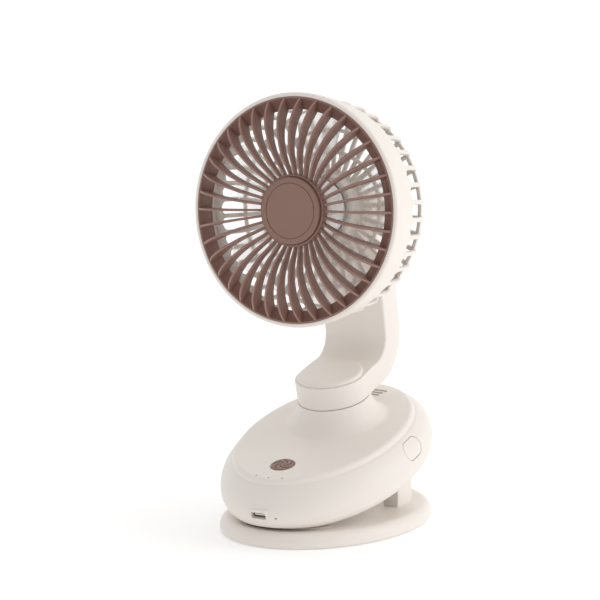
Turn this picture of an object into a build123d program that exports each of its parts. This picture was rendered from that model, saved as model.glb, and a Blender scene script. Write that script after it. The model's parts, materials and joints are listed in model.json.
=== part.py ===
"""Desk fan on a clip foot: lower jaw, sprung upper jaw with battery, swivel arm, tilting head, fan.

Millimetres, +Z up, origin under the middle of the foot's sole. The fan blows towards -Y.
"""
from build123d import *
import os
from math import cos, radians, sin, tan

os.makedirs("parts", exist_ok=True)

# ---- driving dimensions ----------------------------------------------------------------------
FOOT_X, FOOT_Y = 57.9, 80.1          # half axes of the oval foot
FOOT_TOP = 9.0                       # height of the foot's flat top
SOLE_T = 1.0                         # rubber sole under everything
JAW_PAD_TOP = 9.8                    # top of the lower jaw's rubber pad
JAW_FACE_Z = 11.0                    # level where the upper jaw is cut flat
BODY_TILT = 16.0                     # upper jaw slopes down to the front
BODY_ORIGIN = (0, 0, 42.0)           # middle of the upper jaw
WALL = 2.0                           # moulded wall of the shells
PARTING = -9.0                       # parting level of the two shells, in the jaw's own frame
DECK_LOW, DECK_TOP = 12.0, 15.3      # raised deck on the upper jaw
DECK_X, DECK_Y = 49.6, 70.2
PIN_Y, PIN_Z = 23.5, -8.0            # hinge pin in the jaw's own frame
PIN_R = 2.5
LEG_IN, LEG_OUT = 30.0, 40.0         # the legs stand between these X values
NECK_Y = 15.7                        # swivel axis behind the middle of the upper jaw
NECK_TOP = 29.3
ARM_LOW = 29.7                       # underside of the arm and puck
ARM_HALF = 21.5                      # half width of the arm
PUCK_R, PUCK_TOP, LID_R, LID_TOP = 21.8, 43.4, 20.2, 45.8
SLAB_TOP = 44.4                      # top of the arm's low slab behind the puck
ARM_T = 19.5                         # thickness of the upright slab
ARM_LEAN = 3.2                       # lean of the slab away from the swivel axis
ARM_WALL = 2.5
SHAFT_R = 8.0
HEAD_Z = 188.7                       # height of the fan's axis
RING_Y = -42.4                       # front plane of the grille ring
RING_R, OPENING_R, HUB_R = 65.0, 58.0, 21.0
FIN_COUNT, FIN_T = 38, 1.2
RIB_COUNT, RIB_T = 40, 2.2
REAR_DEPTH = 46.4                    # rear face of the head behind the ring plane
BLADE_COUNT, BLADE_R = 5, 57.0
BUTTON_R, BUTTON_Y = 7.0, -50.5
BUTTON_TRAVEL = 0.8
KEY_L, KEY_W = 20.0, 12.0            # flush side button
KEY_GAP = 0.3

# ---- working frames --------------------------------------------------------------------------
ct, st = cos(radians(BODY_TILT)), sin(radians(BODY_TILT))
JAW = Plane(origin=BODY_ORIGIN, x_dir=(1, 0, 0), z_dir=(0, -st, ct))
SIDE = Plane(origin=BODY_ORIGIN, x_dir=(0, ct, st), z_dir=(1, 0, 0))


def jaw_point(x, y, z):
    """A point given in the upper jaw's own frame, in the row frame."""
    return JAW.from_local_coords(Vector(x, y, z))


NECK_ORIGIN = jaw_point(0, NECK_Y, 0)
NECK = Plane(origin=NECK_ORIGIN, x_dir=(1, 0, 0), z_dir=(0, -ct, -st))
NECK_AXIS = Axis(NECK_ORIGIN, (0, -st, ct))
PIN_POINT = jaw_point(0, PIN_Y, PIN_Z)
HEAD = Plane(origin=(0, RING_Y, HEAD_Z), x_dir=(1, 0, 0), z_dir=(0, 0, 1))
HEAD_FACE = Plane(origin=(0, RING_Y, HEAD_Z), x_dir=(1, 0, 0), z_dir=(0, 1, 0))
HEAD_AXIS = Axis((0, 0, HEAD_Z), (0, 1, 0))
CROSS = Plane(origin=(0, 0, 0), x_dir=(0, 1, 0), z_dir=(1, 0, 0))

# The tilt pin lies on the slab's middle line, at the height of the fan's axis.
SLAB_FOOT_Y, SLAB_FOOT_Z = 51.7, 51.9            # a point on the slab's front face
lean = radians(ARM_LEAN)


def slab_front(z):
    """Front face of the upright slab at height z, in the upper jaw's own frame."""
    return SLAB_FOOT_Y + (z - SLAB_FOOT_Z) * tan(lean)


def slab_rear(z):
    """Rear face of the upright slab at height z."""
    return slab_front(z) + ARM_T / cos(lean)


rise = HEAD_Z - BODY_ORIGIN[2]
middle = SLAB_FOOT_Y + ARM_T / 2 / cos(lean) - SLAB_FOOT_Z * tan(lean)
TILT_Z = (rise - middle * st) / (ct + tan(lean) * st)
TILT_Y = middle + TILT_Z * tan(lean)
TILT_POINT = jaw_point(0, TILT_Y, TILT_Z)


# ---- helpers ---------------------------------------------------------------------------------
def oval_loft(levels, inset=0.0):
    """Solid through ovals given as (height, half x, half y) in the upper jaw's frame."""
    with BuildPart() as solid:
        for z, a, b in levels:
            with BuildSketch(JAW.offset(z)):
                Ellipse(a - inset, b - inset)
        loft()
    return solid.part


def turned(points, frame, axis):
    """Solid of revolution from a closed outline of (radius, height) points."""
    with BuildPart() as solid:
        with BuildSketch(frame):
            with BuildLine():
                Polyline(*points, close=True)
            make_face()
        revolve(axis=axis)
    return solid.part


def tube(outer, inner, low, high, frame, axis):
    """Ring of rectangular section."""
    return turned([(inner, low), (outer, low), (outer, high), (inner, high)], frame, axis)


def head_ring(outer, inner, front, back):
    return tube(outer, inner, front, back, HEAD, HEAD_AXIS)


def neck_ring(outer, inner, low, high):
    return tube(outer, inner, low, high, NECK, NECK_AXIS)


def write(piece, name):
    """Label a finished piece and write its STEP file."""
    piece.label = name
    export_step(piece, f"parts/{name}.step")
    print(name, round(piece.volume, 1))


# ---- foot: lower jaw -------------------------------------------------------------------------
leg_y0, leg_y1 = PIN_POINT.Y - 9.3, PIN_POINT.Y + 9.3
LEG_TOP_R = 6.5
COVER_X, COVER_Y = FOOT_X - 4.5, FOOT_Y - 4.5
CAVITY_X, CAVITY_Y = FOOT_X - 8.5, FOOT_Y - 8.5
FOOT_LOW, COVER_TOP, CAVITY_TOP = 0.6, 2.6, 6.6
SCREW_SPOTS = [(-26, -46), (26, -46), (-26, 46), (26, 46)]

with BuildPart() as foot_plate:
    with BuildSketch(Plane.XY.offset(FOOT_LOW)):
        Ellipse(FOOT_X, FOOT_Y)
    extrude(amount=FOOT_TOP - FOOT_LOW)
    fillet(foot_plate.edges().group_by(Axis.Z)[-1], 6.0)
    fillet(foot_plate.edges().group_by(Axis.Z)[0], 1.2)
    for side in (-1, 1):
        with BuildSketch(CROSS.offset(side * (LEG_IN + LEG_OUT) / 2)):
            with BuildLine():
                Polyline((leg_y0, FOOT_TOP - 2), (leg_y1, FOOT_TOP - 2), (leg_y1, PIN_POINT.Z - 6),
                         (PIN_POINT.Y + LEG_TOP_R, PIN_POINT.Z), (PIN_POINT.Y - LEG_TOP_R, PIN_POINT.Z),
                         (leg_y0, PIN_POINT.Z - 6), close=True)
            make_face()
            with Locations((PIN_POINT.Y, PIN_POINT.Z)):
                Circle(LEG_TOP_R)
        extrude(amount=(LEG_OUT - LEG_IN) / 2, both=True)
    with BuildSketch(Plane.XY.offset(FOOT_LOW)):
        Ellipse(COVER_X + 0.1, COVER_Y + 0.1)
    extrude(amount=COVER_TOP - FOOT_LOW, mode=Mode.SUBTRACT)
    with BuildSketch(Plane.XY.offset(COVER_TOP)):
        Ellipse(CAVITY_X, CAVITY_Y)
        with Locations(*SCREW_SPOTS):
            Circle(4.0, mode=Mode.SUBTRACT)
    extrude(amount=CAVITY_TOP - COVER_TOP, mode=Mode.SUBTRACT)
    with BuildSketch(CROSS):
        with Locations((PIN_POINT.Y, PIN_POINT.Z)):
            Circle(PIN_R)
    extrude(amount=LEG_OUT + 1, both=True, mode=Mode.SUBTRACT)
    with BuildSketch(Plane.XY.offset(COVER_TOP)):
        with Locations(*SCREW_SPOTS):
            Circle(1.0)
    extrude(amount=4.0, mode=Mode.SUBTRACT)
write(foot_plate.part, "foot_plate")

with BuildPart() as foot_cover:
    with BuildSketch(Plane.XY.offset(SOLE_T)):
        Ellipse(COVER_X, COVER_Y)
        with Locations(*SCREW_SPOTS):
            Circle(1.4, mode=Mode.SUBTRACT)
    extrude(amount=COVER_TOP - SOLE_T)
write(foot_cover.part, "foot_cover")

with BuildPart() as foot_ballast:
    with BuildSketch(Plane.XY.offset(COVER_TOP + 0.05)):
        Ellipse(CAVITY_X - 0.4, CAVITY_Y - 0.4)
        with Locations(*SCREW_SPOTS):
            Circle(4.4, mode=Mode.SUBTRACT)
    extrude(amount=3.6)
write(foot_ballast.part, "foot_ballast")

with BuildPart() as sole_pad:
    with BuildSketch():
        Ellipse(COVER_X - 0.6, COVER_Y - 0.6)
        with Locations(*SCREW_SPOTS):
            Circle(3.0, mode=Mode.SUBTRACT)
    extrude(amount=SOLE_T)
    fillet(sole_pad.edges().group_by(Axis.Z)[0].sort_by(SortBy.LENGTH)[-1], 0.4)
write(sole_pad.part, "sole_pad")

with BuildPart() as foot_screws:
    for spot in SCREW_SPOTS:
        with BuildSketch(Plane.XY.offset(0.3)):
            with Locations(spot):
                Circle(2.4)
        extrude(amount=SOLE_T - 0.3)
        with BuildSketch(Plane.XY.offset(SOLE_T)):
            with Locations(spot):
                Circle(0.98)
        extrude(amount=4.6)
write(foot_screws.part, "foot_screws")

# The pad is the front slice of an oval on the foot's top, under the upper jaw's nose.
PAD_BACK, PAD_INSET, PAD_CORNER = -47.0, 12.4, 3.0
with BuildPart() as lower_jaw_pad:
    with BuildSketch(Plane.XY.offset(FOOT_TOP)):
        Ellipse(FOOT_X - PAD_INSET, FOOT_Y - PAD_INSET)
        with Locations((0, (PAD_BACK + FOOT_Y) / 2)):
            Rectangle(2 * FOOT_X, FOOT_Y - PAD_BACK, mode=Mode.SUBTRACT)
    extrude(amount=JAW_PAD_TOP - FOOT_TOP)
    fillet(lower_jaw_pad.edges().filter_by(Axis.Z), PAD_CORNER)
    fillet(lower_jaw_pad.edges().group_by(Axis.Z)[-1], 0.3)
write(lower_jaw_pad.part, "lower_jaw_pad")

# ---- clip hinge ------------------------------------------------------------------------------
PIN_END = 45.5
with BuildPart() as hinge_pin:
    with BuildSketch(CROSS):
        with Locations((PIN_POINT.Y, PIN_POINT.Z)):
            Circle(PIN_R)
    extrude(amount=PIN_END, both=True)
    chamfer(hinge_pin.edges(), 0.4)
write(hinge_pin.part, "hinge_pin")

COIL_R, WIRE_R, COIL_TURNS, COIL_LOW = 3.8, 0.6, 6, 20.2
COIL_PITCH, TAIL_LEN = 1.45, 3.0


def torsion_spring(side):
    """Closed coil round the hinge pin with two straight tails, next to one leg."""
    middle = (side * COIL_LOW, PIN_POINT.Y, PIN_POINT.Z)
    with BuildPart() as spring:
        with BuildLine() as path:
            Helix(pitch=COIL_PITCH, height=COIL_PITCH * COIL_TURNS, radius=COIL_R, center=middle,
                  direction=(side, 0, 0))
        with BuildSketch(Plane(origin=path.line @ 0, z_dir=path.line % 0)):
            Circle(WIRE_R)
        sweep(is_frenet=True)
        for end, heading in ((path.line @ 0, path.line % 0 * -1), (path.line @ 1, path.line % 1)):
            with BuildSketch(Plane(origin=end, z_dir=(0, heading.Y, heading.Z))):
                Circle(WIRE_R)
            extrude(amount=TAIL_LEN)
    return spring.part


with BuildPart() as clip_springs:
    add(torsion_spring(-1))
    add(torsion_spring(1))
write(clip_springs.part, "clip_springs")

# ---- clip body: upper jaw --------------------------------------------------------------------
# Ovals of the outer skin as (height, half x, half y), from the parting level up to the deck.
UPPER_SKIN = [(PARTING, 57.0, 80.6), (-3.5, 58.0, 82.5), (2.0, 57.4, 81.4), (6.5, 55.6, 78.6),
              (9.8, 53.0, 75.2), (DECK_LOW, 50.7, 71.8)]
LOWER_SKIN = [(-15.2, 50.5, 70.5), (-13.2, 53.8, 75.6), (PARTING, 57.0, 80.6)]
LOW_SHELL = -15.2
FLOOR = LOW_SHELL + WALL

with BuildPart() as upper_block:
    add(oval_loft(UPPER_SKIN))
    with BuildSketch(JAW.offset(DECK_LOW)):
        Ellipse(DECK_X, DECK_Y)
    extrude(amount=DECK_TOP - DECK_LOW)
    deck_edge = upper_block.edges().filter_by(lambda e: abs(JAW.to_local_coords(e.center()).Z
                                                           - DECK_TOP) < 0.01)
    fillet(deck_edge, 2.4)

NECK_OUTLINE = [(33.0, DECK_TOP - 1.0), (33.0, DECK_TOP + 0.15), (29.8, DECK_TOP + 1.0), (27.0, 18.4),
                (25.2, 21.5), (23.6, 25.0), (22.2, NECK_TOP)]
with BuildPart() as neck_block:
    with BuildSketch(NECK):
        with BuildLine():
            Polyline((0, DECK_TOP - 1.0), NECK_OUTLINE[0], NECK_OUTLINE[1])
            Spline(*NECK_OUTLINE[1:])
            Polyline(NECK_OUTLINE[-1], (0, NECK_TOP), (0, DECK_TOP - 1.0))
        make_face()
    revolve(axis=NECK_AXIS)

PORT_W, PORT_H, PORT_Z = 9.6, 3.8, -1.1
LAMP_SPOTS = [(-8.5, -66.2), (0, -67.0), (8.5, -66.2)]
LAMP_R, CHARGE_SPOT = 0.6, (10.2, -1.4)
KEY_POINT = jaw_point(56.0, 5.0, 5.7)
KEY_LEAN = radians(27)
KEY_NORMAL = JAW.from_local_coords(Vector(cos(KEY_LEAN), 0, sin(KEY_LEAN))) - Vector(*BODY_ORIGIN)
KEY = Plane(origin=KEY_POINT, x_dir=(0, ct, st), z_dir=KEY_NORMAL)
NOSE = 88.0                          # the FRONT plane stands this far before the middle of the jaw
FRONT = Plane(origin=jaw_point(0, -NOSE, PORT_Z), x_dir=(1, 0, 0), z_dir=(0, -ct, -st))
VENT_ROWS, VENT_Y, VENT_STEP = 3, 52.9, 3.3
VENT_L, VENT_GROWTH, VENT_W = 21.8, 2.6, 2.0

with BuildPart() as key_prism:
    with BuildSketch(KEY.offset(-5)):
        SlotOverall(KEY_L, KEY_W)
    extrude(amount=12)

with BuildPart() as top_shell:
    add(upper_block.part)
    add(neck_block.part)
    add(oval_loft([(z, a, b) for z, a, b in UPPER_SKIN], inset=WALL), mode=Mode.SUBTRACT)
    with BuildSketch(JAW.offset(DECK_LOW)):
        Ellipse(DECK_X - 3.4, DECK_Y - 3.4)
    extrude(amount=DECK_TOP - WALL - DECK_LOW, mode=Mode.SUBTRACT)
    add(turned([(0, DECK_TOP - WALL - 1), (26.0, DECK_TOP - WALL - 1), (23.0, 19.0), (20.4, 26.2),
                (0, 26.2)], NECK, NECK_AXIS), mode=Mode.SUBTRACT)
    add(neck_ring(SHAFT_R + 0.08, 0, 20, NECK_TOP + 1), mode=Mode.SUBTRACT)
    # power button hole, lamp holes, vent slots, port, charge lamp hole, side button hole
    with BuildSketch(JAW.offset(DECK_TOP + 1)):
        with Locations((0, BUTTON_Y)):
            Circle(BUTTON_R + 0.25)
        with Locations(*LAMP_SPOTS):
            Circle(LAMP_R)
        for row in range(VENT_ROWS):
            with Locations((0, VENT_Y + row * VENT_STEP)):
                SlotOverall(VENT_L + row * VENT_GROWTH, VENT_W)
    extrude(amount=-6, mode=Mode.SUBTRACT)
    with BuildSketch(FRONT):
        RectangleRounded(PORT_W, PORT_H, 1.4)
        with Locations(CHARGE_SPOT):
            Circle(LAMP_R)
    extrude(amount=-12, mode=Mode.SUBTRACT)
    add(key_prism.part, mode=Mode.SUBTRACT)
    split(bisect_by=Plane(origin=(0, 0, JAW_FACE_Z), z_dir=(0, 0, 1)), keep=Keep.TOP)
write(top_shell.part, "top_shell")

with BuildPart() as side_button:
    with BuildSketch(KEY.offset(-5)):
        SlotOverall(KEY_L - 2 * KEY_GAP, KEY_W - 2 * KEY_GAP)
    extrude(amount=12)
    add(upper_block.part, mode=Mode.INTERSECT)
    add(oval_loft(UPPER_SKIN, inset=WALL), mode=Mode.SUBTRACT)
write(side_button.part, "side_button")

LUG_INNER, LUG_OUTER = (14.5, 18.0), (42.0, 45.0)
SHELL_SCREWS = [(-24, -58), (24, -58), (-24, 56), (24, 56)]
slot_front, slot_rear = PIN_Y - 12.0, PIN_Y + 14.0
with BuildPart() as bottom_shell:
    add(oval_loft(LOWER_SKIN))
    add(oval_loft([(FLOOR, 51.4, 73.0), (PARTING, 55.0, 78.6)]), mode=Mode.SUBTRACT)
    for low, high in (LUG_INNER, LUG_OUTER):
        for side in (-1, 1):
            with BuildSketch(SIDE.offset(side * (low + high) / 2)):
                with BuildLine():
                    Polyline((PIN_Y - 6, FLOOR - 0.5), (PIN_Y + 6, FLOOR - 0.5), (PIN_Y + 6, PIN_Z),
                             (PIN_Y - 6, PIN_Z), close=True)
                make_face()
                with Locations((PIN_Y, PIN_Z)):
                    Circle(6.0)
            extrude(amount=(high - low) / 2, both=True)
    for side in (-1, 1):
        with BuildSketch(JAW.offset(LOW_SHELL - 1)):
            with Locations((side * (LEG_IN + LEG_OUT) / 2, (slot_front + slot_rear) / 2)):
                Rectangle(LEG_OUT - LEG_IN + 1.0, slot_rear - slot_front)
        extrude(amount=PARTING - LOW_SHELL + 1, mode=Mode.SUBTRACT)
    for spot in SHELL_SCREWS:
        with BuildSketch(JAW.offset(FLOOR - 0.5)):
            with Locations(spot):
                Circle(3.2)
        extrude(amount=PARTING - FLOOR)
    with BuildSketch(JAW.offset(LOW_SHELL - 1)):
        with Locations(*SHELL_SCREWS):
            Circle(1.1)
    extrude(amount=8, mode=Mode.SUBTRACT)
    with BuildSketch(CROSS):
        with Locations((PIN_POINT.Y, PIN_POINT.Z)):
            Circle(PIN_R + 0.07)
    extrude(amount=50, both=True, mode=Mode.SUBTRACT)
    split(bisect_by=Plane(origin=(0, 0, JAW_FACE_Z), z_dir=(0, 0, 1)), keep=Keep.TOP)
write(bottom_shell.part, "bottom_shell")

with BuildPart() as shell_screws:
    for spot in SHELL_SCREWS:
        with BuildSketch(JAW.offset(PARTING - 0.4)):
            with Locations(spot):
                Circle(2.0)
        extrude(amount=1.4)
        with BuildSketch(JAW.offset(PARTING - 0.4)):
            with Locations(spot):
                Circle(1.05)
        extrude(amount=-4.5)
write(shell_screws.part, "shell_screws")

UPPER_PAD_LOW = 10.1
with BuildPart() as upper_jaw_pad:
    with BuildSketch(Plane.XY.offset(UPPER_PAD_LOW)):
        Ellipse(FOOT_X - 22, FOOT_Y - 18)
        with Locations((0, 14)):
            Rectangle(2 * FOOT_X, 134, mode=Mode.SUBTRACT)
    extrude(amount=JAW_FACE_Z - UPPER_PAD_LOW)
write(upper_jaw_pad.part, "upper_jaw_pad")

CELL_R, CELL_LEN, CELL_X, CELL_BACK, CELL_Z = 9.0, 65.0, 9.4, 16.0, 1.2
with BuildPart() as battery_cells:
    for side in (-1, 1):
        end = Plane(origin=jaw_point(side * CELL_X, CELL_BACK, CELL_Z), z_dir=(0, -ct, -st))
        with BuildSketch(end):
            Circle(CELL_R)
        extrude(amount=CELL_LEN)
        with BuildSketch(end.offset(CELL_LEN)):
            Circle(3.0)
        extrude(amount=1.2)
write(battery_cells.part, "battery_cells")

with BuildPart() as cell_cradle:
    with BuildSketch(JAW.offset(FLOOR)):
        with Locations((0, CELL_BACK - CELL_LEN / 2)):
            Rectangle(4 * CELL_R, CELL_LEN - 16)
    extrude(amount=CELL_Z - 3 - FLOOR)
    for side in (-1, 1):
        with BuildSketch(Plane(origin=jaw_point(side * CELL_X, CELL_BACK + 1, CELL_Z),
                               z_dir=(0, -ct, -st))):
            Circle(CELL_R + 0.1)
        extrude(amount=CELL_LEN + 2, mode=Mode.SUBTRACT)
write(cell_cradle.part, "cell_cradle")

BOARD_LOW, BOARD_T = -4.6, 1.6
BOARD_W, BOARD_L, BOARD_Y = 34.0, 23.0, -64.0
BOARD_TOP = BOARD_LOW + BOARD_T
with BuildPart() as circuit_board:
    with BuildSketch(JAW.offset(BOARD_LOW)):
        with Locations((0, BOARD_Y)):
            RectangleRounded(BOARD_W, BOARD_L, 3)
    extrude(amount=BOARD_T)
write(circuit_board.part, "circuit_board")

SOCKET_W, SOCKET_H, SOCKET_L, SOCKET_WALL, SOCKET_SET = 9.0, 3.2, 7.4, 0.3, 6.3
TONGUE_W, TONGUE_T = 6.6, 0.7
with BuildPart() as usb_socket:
    with BuildSketch(FRONT.offset(-SOCKET_SET)):
        RectangleRounded(SOCKET_W, SOCKET_H, 1.3)
    extrude(amount=-SOCKET_L)
    with BuildSketch(FRONT.offset(-SOCKET_SET)):
        RectangleRounded(SOCKET_W - 2 * SOCKET_WALL, SOCKET_H - 2 * SOCKET_WALL, 1.1)
    extrude(amount=0.8 - SOCKET_L, mode=Mode.SUBTRACT)
    with BuildSketch(FRONT.offset(-SOCKET_SET - 0.6)):
        Rectangle(TONGUE_W, TONGUE_T)
    extrude(amount=1.0 - SOCKET_L)
write(usb_socket.part, "usb_socket")

SWITCH_TOP, SWITCH_SIZE, SWITCH_T = 1.2, 6.2, 2.2
SWITCH_Y = BUTTON_Y - 3.0
with BuildPart() as power_switch:
    with BuildSketch(JAW.offset(BOARD_TOP)):
        with Locations((0, SWITCH_Y)):
            Rectangle(SWITCH_SIZE, SWITCH_SIZE)
    extrude(amount=SWITCH_T)
    with BuildSketch(JAW.offset(BOARD_TOP + SWITCH_T)):
        with Locations((0, SWITCH_Y)):
            Circle(1.7)
    extrude(amount=SWITCH_TOP - BOARD_TOP - SWITCH_T)
write(power_switch.part, "power_switch")

with BuildPart() as side_switch:
    with BuildSketch(KEY.offset(-9.4)):
        Rectangle(12.0, 8.0)
    extrude(amount=2.4)
    with BuildSketch(KEY.offset(-7.0)):
        Circle(1.7)
    extrude(amount=1.4)
write(side_switch.part, "side_switch")

with BuildPart() as indicator_lamps:
    for spot in LAMP_SPOTS:
        with BuildSketch(JAW.offset(BOARD_TOP + 0.6)):
            with Locations(spot):
                Circle(LAMP_R)
        extrude(amount=DECK_TOP - BOARD_TOP - 0.65)
write(indicator_lamps.part, "indicator_lamps")

with BuildPart() as charge_lamp:
    with BuildSketch(FRONT.offset(-7.3)):
        with Locations(CHARGE_SPOT):
            Circle(LAMP_R)
    extrude(amount=-5.0)
write(charge_lamp.part, "charge_lamp")

with BuildPart() as friction_washer:
    add(neck_ring(13.0, SHAFT_R + 0.3, 24.6, 26.2))
write(friction_washer.part, "friction_washer")

BUTTON_TOP, BUTTON_LOW = DECK_TOP + 0.5, DECK_TOP - 2.6
with BuildPart() as power_button:
    with BuildSketch(JAW.offset(BUTTON_LOW)):
        with Locations((0, BUTTON_Y)):
            Circle(BUTTON_R)
    extrude(amount=BUTTON_TOP - BUTTON_LOW)
    with BuildSketch(JAW.offset(SWITCH_TOP + BUTTON_TRAVEL + 0.1)):
        with Locations((0, SWITCH_Y)):
            Circle(1.6)
    extrude(amount=BUTTON_LOW - SWITCH_TOP - BUTTON_TRAVEL - 0.1)
    rim = power_button.edges().filter_by(lambda e: JAW.to_local_coords(e.center()).Z > BUTTON_TOP - 0.01)
    fillet(rim, 0.5)
write(power_button.part, "power_button")

# ---- arm -------------------------------------------------------------------------------------
BEND_R_OUT, BEND_R_IN = 30.0, 15.0
EAR_R = ARM_T / 2
EAR_FOOT = TILT_Z - 20.0                        # the fork opens above this height


def arm_outline(inset, rear_top, front_top, crown=None):
    """Side outline of the arm: low slab, bend and upright slab, closed by a line or a round crown."""
    low, high = ARM_LOW + inset, SLAB_TOP - inset
    with BuildLine() as line:
        FilletPolyline((NECK_Y, low), (slab_rear(low) - inset, low), rear_top, radius=BEND_R_OUT - inset)
        if crown:
            ThreePointArc(rear_top, crown, front_top)
        else:
            Line(rear_top, front_top)
        FilletPolyline(front_top, (slab_front(high) + inset, high), (NECK_Y, high),
                       radius=BEND_R_IN + inset)
        Line((NECK_Y, high), (NECK_Y, low))
    return line.line


CROWN = (TILT_Y + EAR_R * sin(lean), TILT_Z + EAR_R * cos(lean))
EAR_REAR = (TILT_Y + EAR_R * cos(lean), TILT_Z - EAR_R * sin(lean))
EAR_FRONT = (TILT_Y - EAR_R * cos(lean), TILT_Z + EAR_R * sin(lean))
HOLLOW_TOP = EAR_FOOT - 4
HOLLOW_REAR = (slab_rear(HOLLOW_TOP) - ARM_WALL, HOLLOW_TOP)
HOLLOW_FRONT = (slab_front(HOLLOW_TOP) + ARM_WALL, HOLLOW_TOP)
COVER_LOW, COVER_HIGH, COVER_HALF = 66.0, 112.0, 15.0
with BuildPart() as arm_shell:
    with BuildSketch(SIDE):
        add(arm_outline(0, EAR_REAR, EAR_FRONT, CROWN))
        make_face()
    extrude(amount=ARM_HALF, both=True)
    long_edges = arm_shell.edges().filter_by(lambda e: abs(abs(e.center().X) - ARM_HALF) < 0.01
                                             and JAW.to_local_coords(e.center()).Y > NECK_Y + 6)
    fillet(long_edges, 1.6)
    add(neck_ring(PUCK_R, 0, ARM_LOW, PUCK_TOP))
    # hollow of the slabs and of the puck
    with BuildSketch(SIDE):
        add(arm_outline(ARM_WALL, HOLLOW_REAR, HOLLOW_FRONT))
        make_face()
    extrude(amount=ARM_HALF - ARM_WALL, both=True, mode=Mode.SUBTRACT)
    add(neck_ring(PUCK_R - 2.2, 0, ARM_LOW + 2.3, PUCK_TOP + 4), mode=Mode.SUBTRACT)
    add(neck_ring(SHAFT_R + 0.02, 0, ARM_LOW - 1, ARM_LOW + 4), mode=Mode.SUBTRACT)
    add(neck_ring(LID_R + 0.15, 0, PUCK_TOP, LID_TOP + 1), mode=Mode.SUBTRACT)
    # fork for the head's lug, pin hole, window for the back cover
    with BuildSketch(SIDE):
        with Locations((TILT_Y, EAR_FOOT + 30)):
            Rectangle(60, 60)
    extrude(amount=6.5, both=True, mode=Mode.SUBTRACT)
    with BuildSketch(SIDE):
        with Locations((TILT_Y, TILT_Z)):
            Circle(PIN_R)
    extrude(amount=ARM_HALF + 1, both=True, mode=Mode.SUBTRACT)
    with BuildSketch(SIDE):
        with BuildLine():
            Polyline((slab_rear(COVER_LOW) - ARM_WALL - 1, COVER_LOW), (slab_rear(COVER_LOW) + 2, COVER_LOW),
                     (slab_rear(COVER_HIGH) + 2, COVER_HIGH),
                     (slab_rear(COVER_HIGH) - ARM_WALL - 1, COVER_HIGH), close=True)
        make_face()
    extrude(amount=COVER_HALF, both=True, mode=Mode.SUBTRACT)
write(arm_shell.part, "arm_shell")

with BuildPart() as arm_back_cover:
    with BuildSketch(SIDE):
        with BuildLine():
            Polyline((slab_rear(COVER_LOW) - ARM_WALL, COVER_LOW + 0.15),
                     (slab_rear(COVER_LOW), COVER_LOW + 0.15),
                     (slab_rear(COVER_HIGH), COVER_HIGH - 0.15),
                     (slab_rear(COVER_HIGH) - ARM_WALL, COVER_HIGH - 0.15), close=True)
        make_face()
    extrude(amount=COVER_HALF - 0.15, both=True)
write(arm_back_cover.part, "arm_back_cover")

LID_STEP = 0.3
with BuildPart() as puck_lid:
    add(turned([(0, PUCK_TOP - 2), (LID_R - 1.2, PUCK_TOP - 2), (LID_R - 1.2, PUCK_TOP + LID_STEP),
                (LID_R, PUCK_TOP + LID_STEP), (LID_R, LID_TOP - 1.0), (LID_R - 0.3, LID_TOP - 0.3),
                (LID_R - 1.0, LID_TOP), (0, LID_TOP)], NECK, NECK_AXIS))
write(puck_lid.part, "puck_lid")

with BuildPart() as swivel_shaft:
    add(neck_ring(SHAFT_R, 5.0, 22.0, ARM_LOW + 2.3))
    add(neck_ring(13.0, 5.0, ARM_LOW + 2.3, ARM_LOW + 4.5))
write(swivel_shaft.part, "swivel_shaft")

with BuildPart() as shaft_retainer:
    add(neck_ring(12.0, SHAFT_R, 22.2, 24.2))
write(shaft_retainer.part, "shaft_retainer")

with BuildPart() as tilt_pin:
    with BuildSketch(SIDE):
        with Locations((TILT_Y, TILT_Z)):
            Circle(PIN_R)
    extrude(amount=ARM_HALF - 2.0, both=True)
write(tilt_pin.part, "tilt_pin")

with BuildPart() as pin_caps:
    for side in (-1, 1):
        with BuildSketch(SIDE.offset(side * (ARM_HALF - 2.0))):
            with Locations((TILT_Y, TILT_Z)):
                Circle(PIN_R)
        extrude(amount=side * 2.0)
        with BuildSketch(SIDE.offset(side * ARM_HALF)):
            with Locations((TILT_Y, TILT_Z)):
                Circle(5.0)
        extrude(amount=side * 0.8)
write(pin_caps.part, "pin_caps")

with BuildPart() as tilt_washers:
    for side in (-1, 1):
        with BuildSketch(SIDE.offset(side * 6.5)):
            with Locations((TILT_Y, TILT_Z)):
                Circle(7.0)
                Circle(PIN_R + 0.05, mode=Mode.SUBTRACT)
        extrude(amount=-side * 0.7)
write(tilt_washers.part, "tilt_washers")

# ---- head ------------------------------------------------------------------------------------
with BuildPart() as front_housing:
    add(turned([(65.15, 0), (66.7, 0), (67.3, 0.5), (67.5, 1.4), (67.3, 6.0), (66.6, 14.0), (65.4, 22.0),
                (63.4, 22.0), (63.6, 7.0), (62.0, 7.0), (62.0, 5.1), (65.15, 5.1)], HEAD, HEAD_AXIS))
write(front_housing.part, "front_housing")

FIN_FRONT = [(64.4, 0.2), (59.0, -5.2), (55.3, -7.5), (51.0, -9.1), (45.5, -9.8), (41.0, -9.6),
             (37.0, -8.8), (33.0, -7.6), (29.5, -5.8), (25.5, -3.0), (HUB_R - 0.5, 0.6)]
FIN_BACK = [(HUB_R - 0.5, 3.2), (28.8, -0.4), (32.5, -1.8), (36.0, -2.6), (39.5, -3.0), (44.0, -2.6),
            (48.0, -1.6), (53.0, 0.6), (58.6, 3.8)]

with BuildPart() as fin:
    with BuildSketch(Plane.XZ):
        with BuildLine():
            Spline(*FIN_FRONT)
            Line(FIN_FRONT[-1], FIN_BACK[0])
            Spline(*FIN_BACK)
            Polyline(FIN_BACK[-1], (64.4, 4.0), FIN_FRONT[0])
        make_face()
    extrude(amount=FIN_T / 2, both=True)

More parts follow.
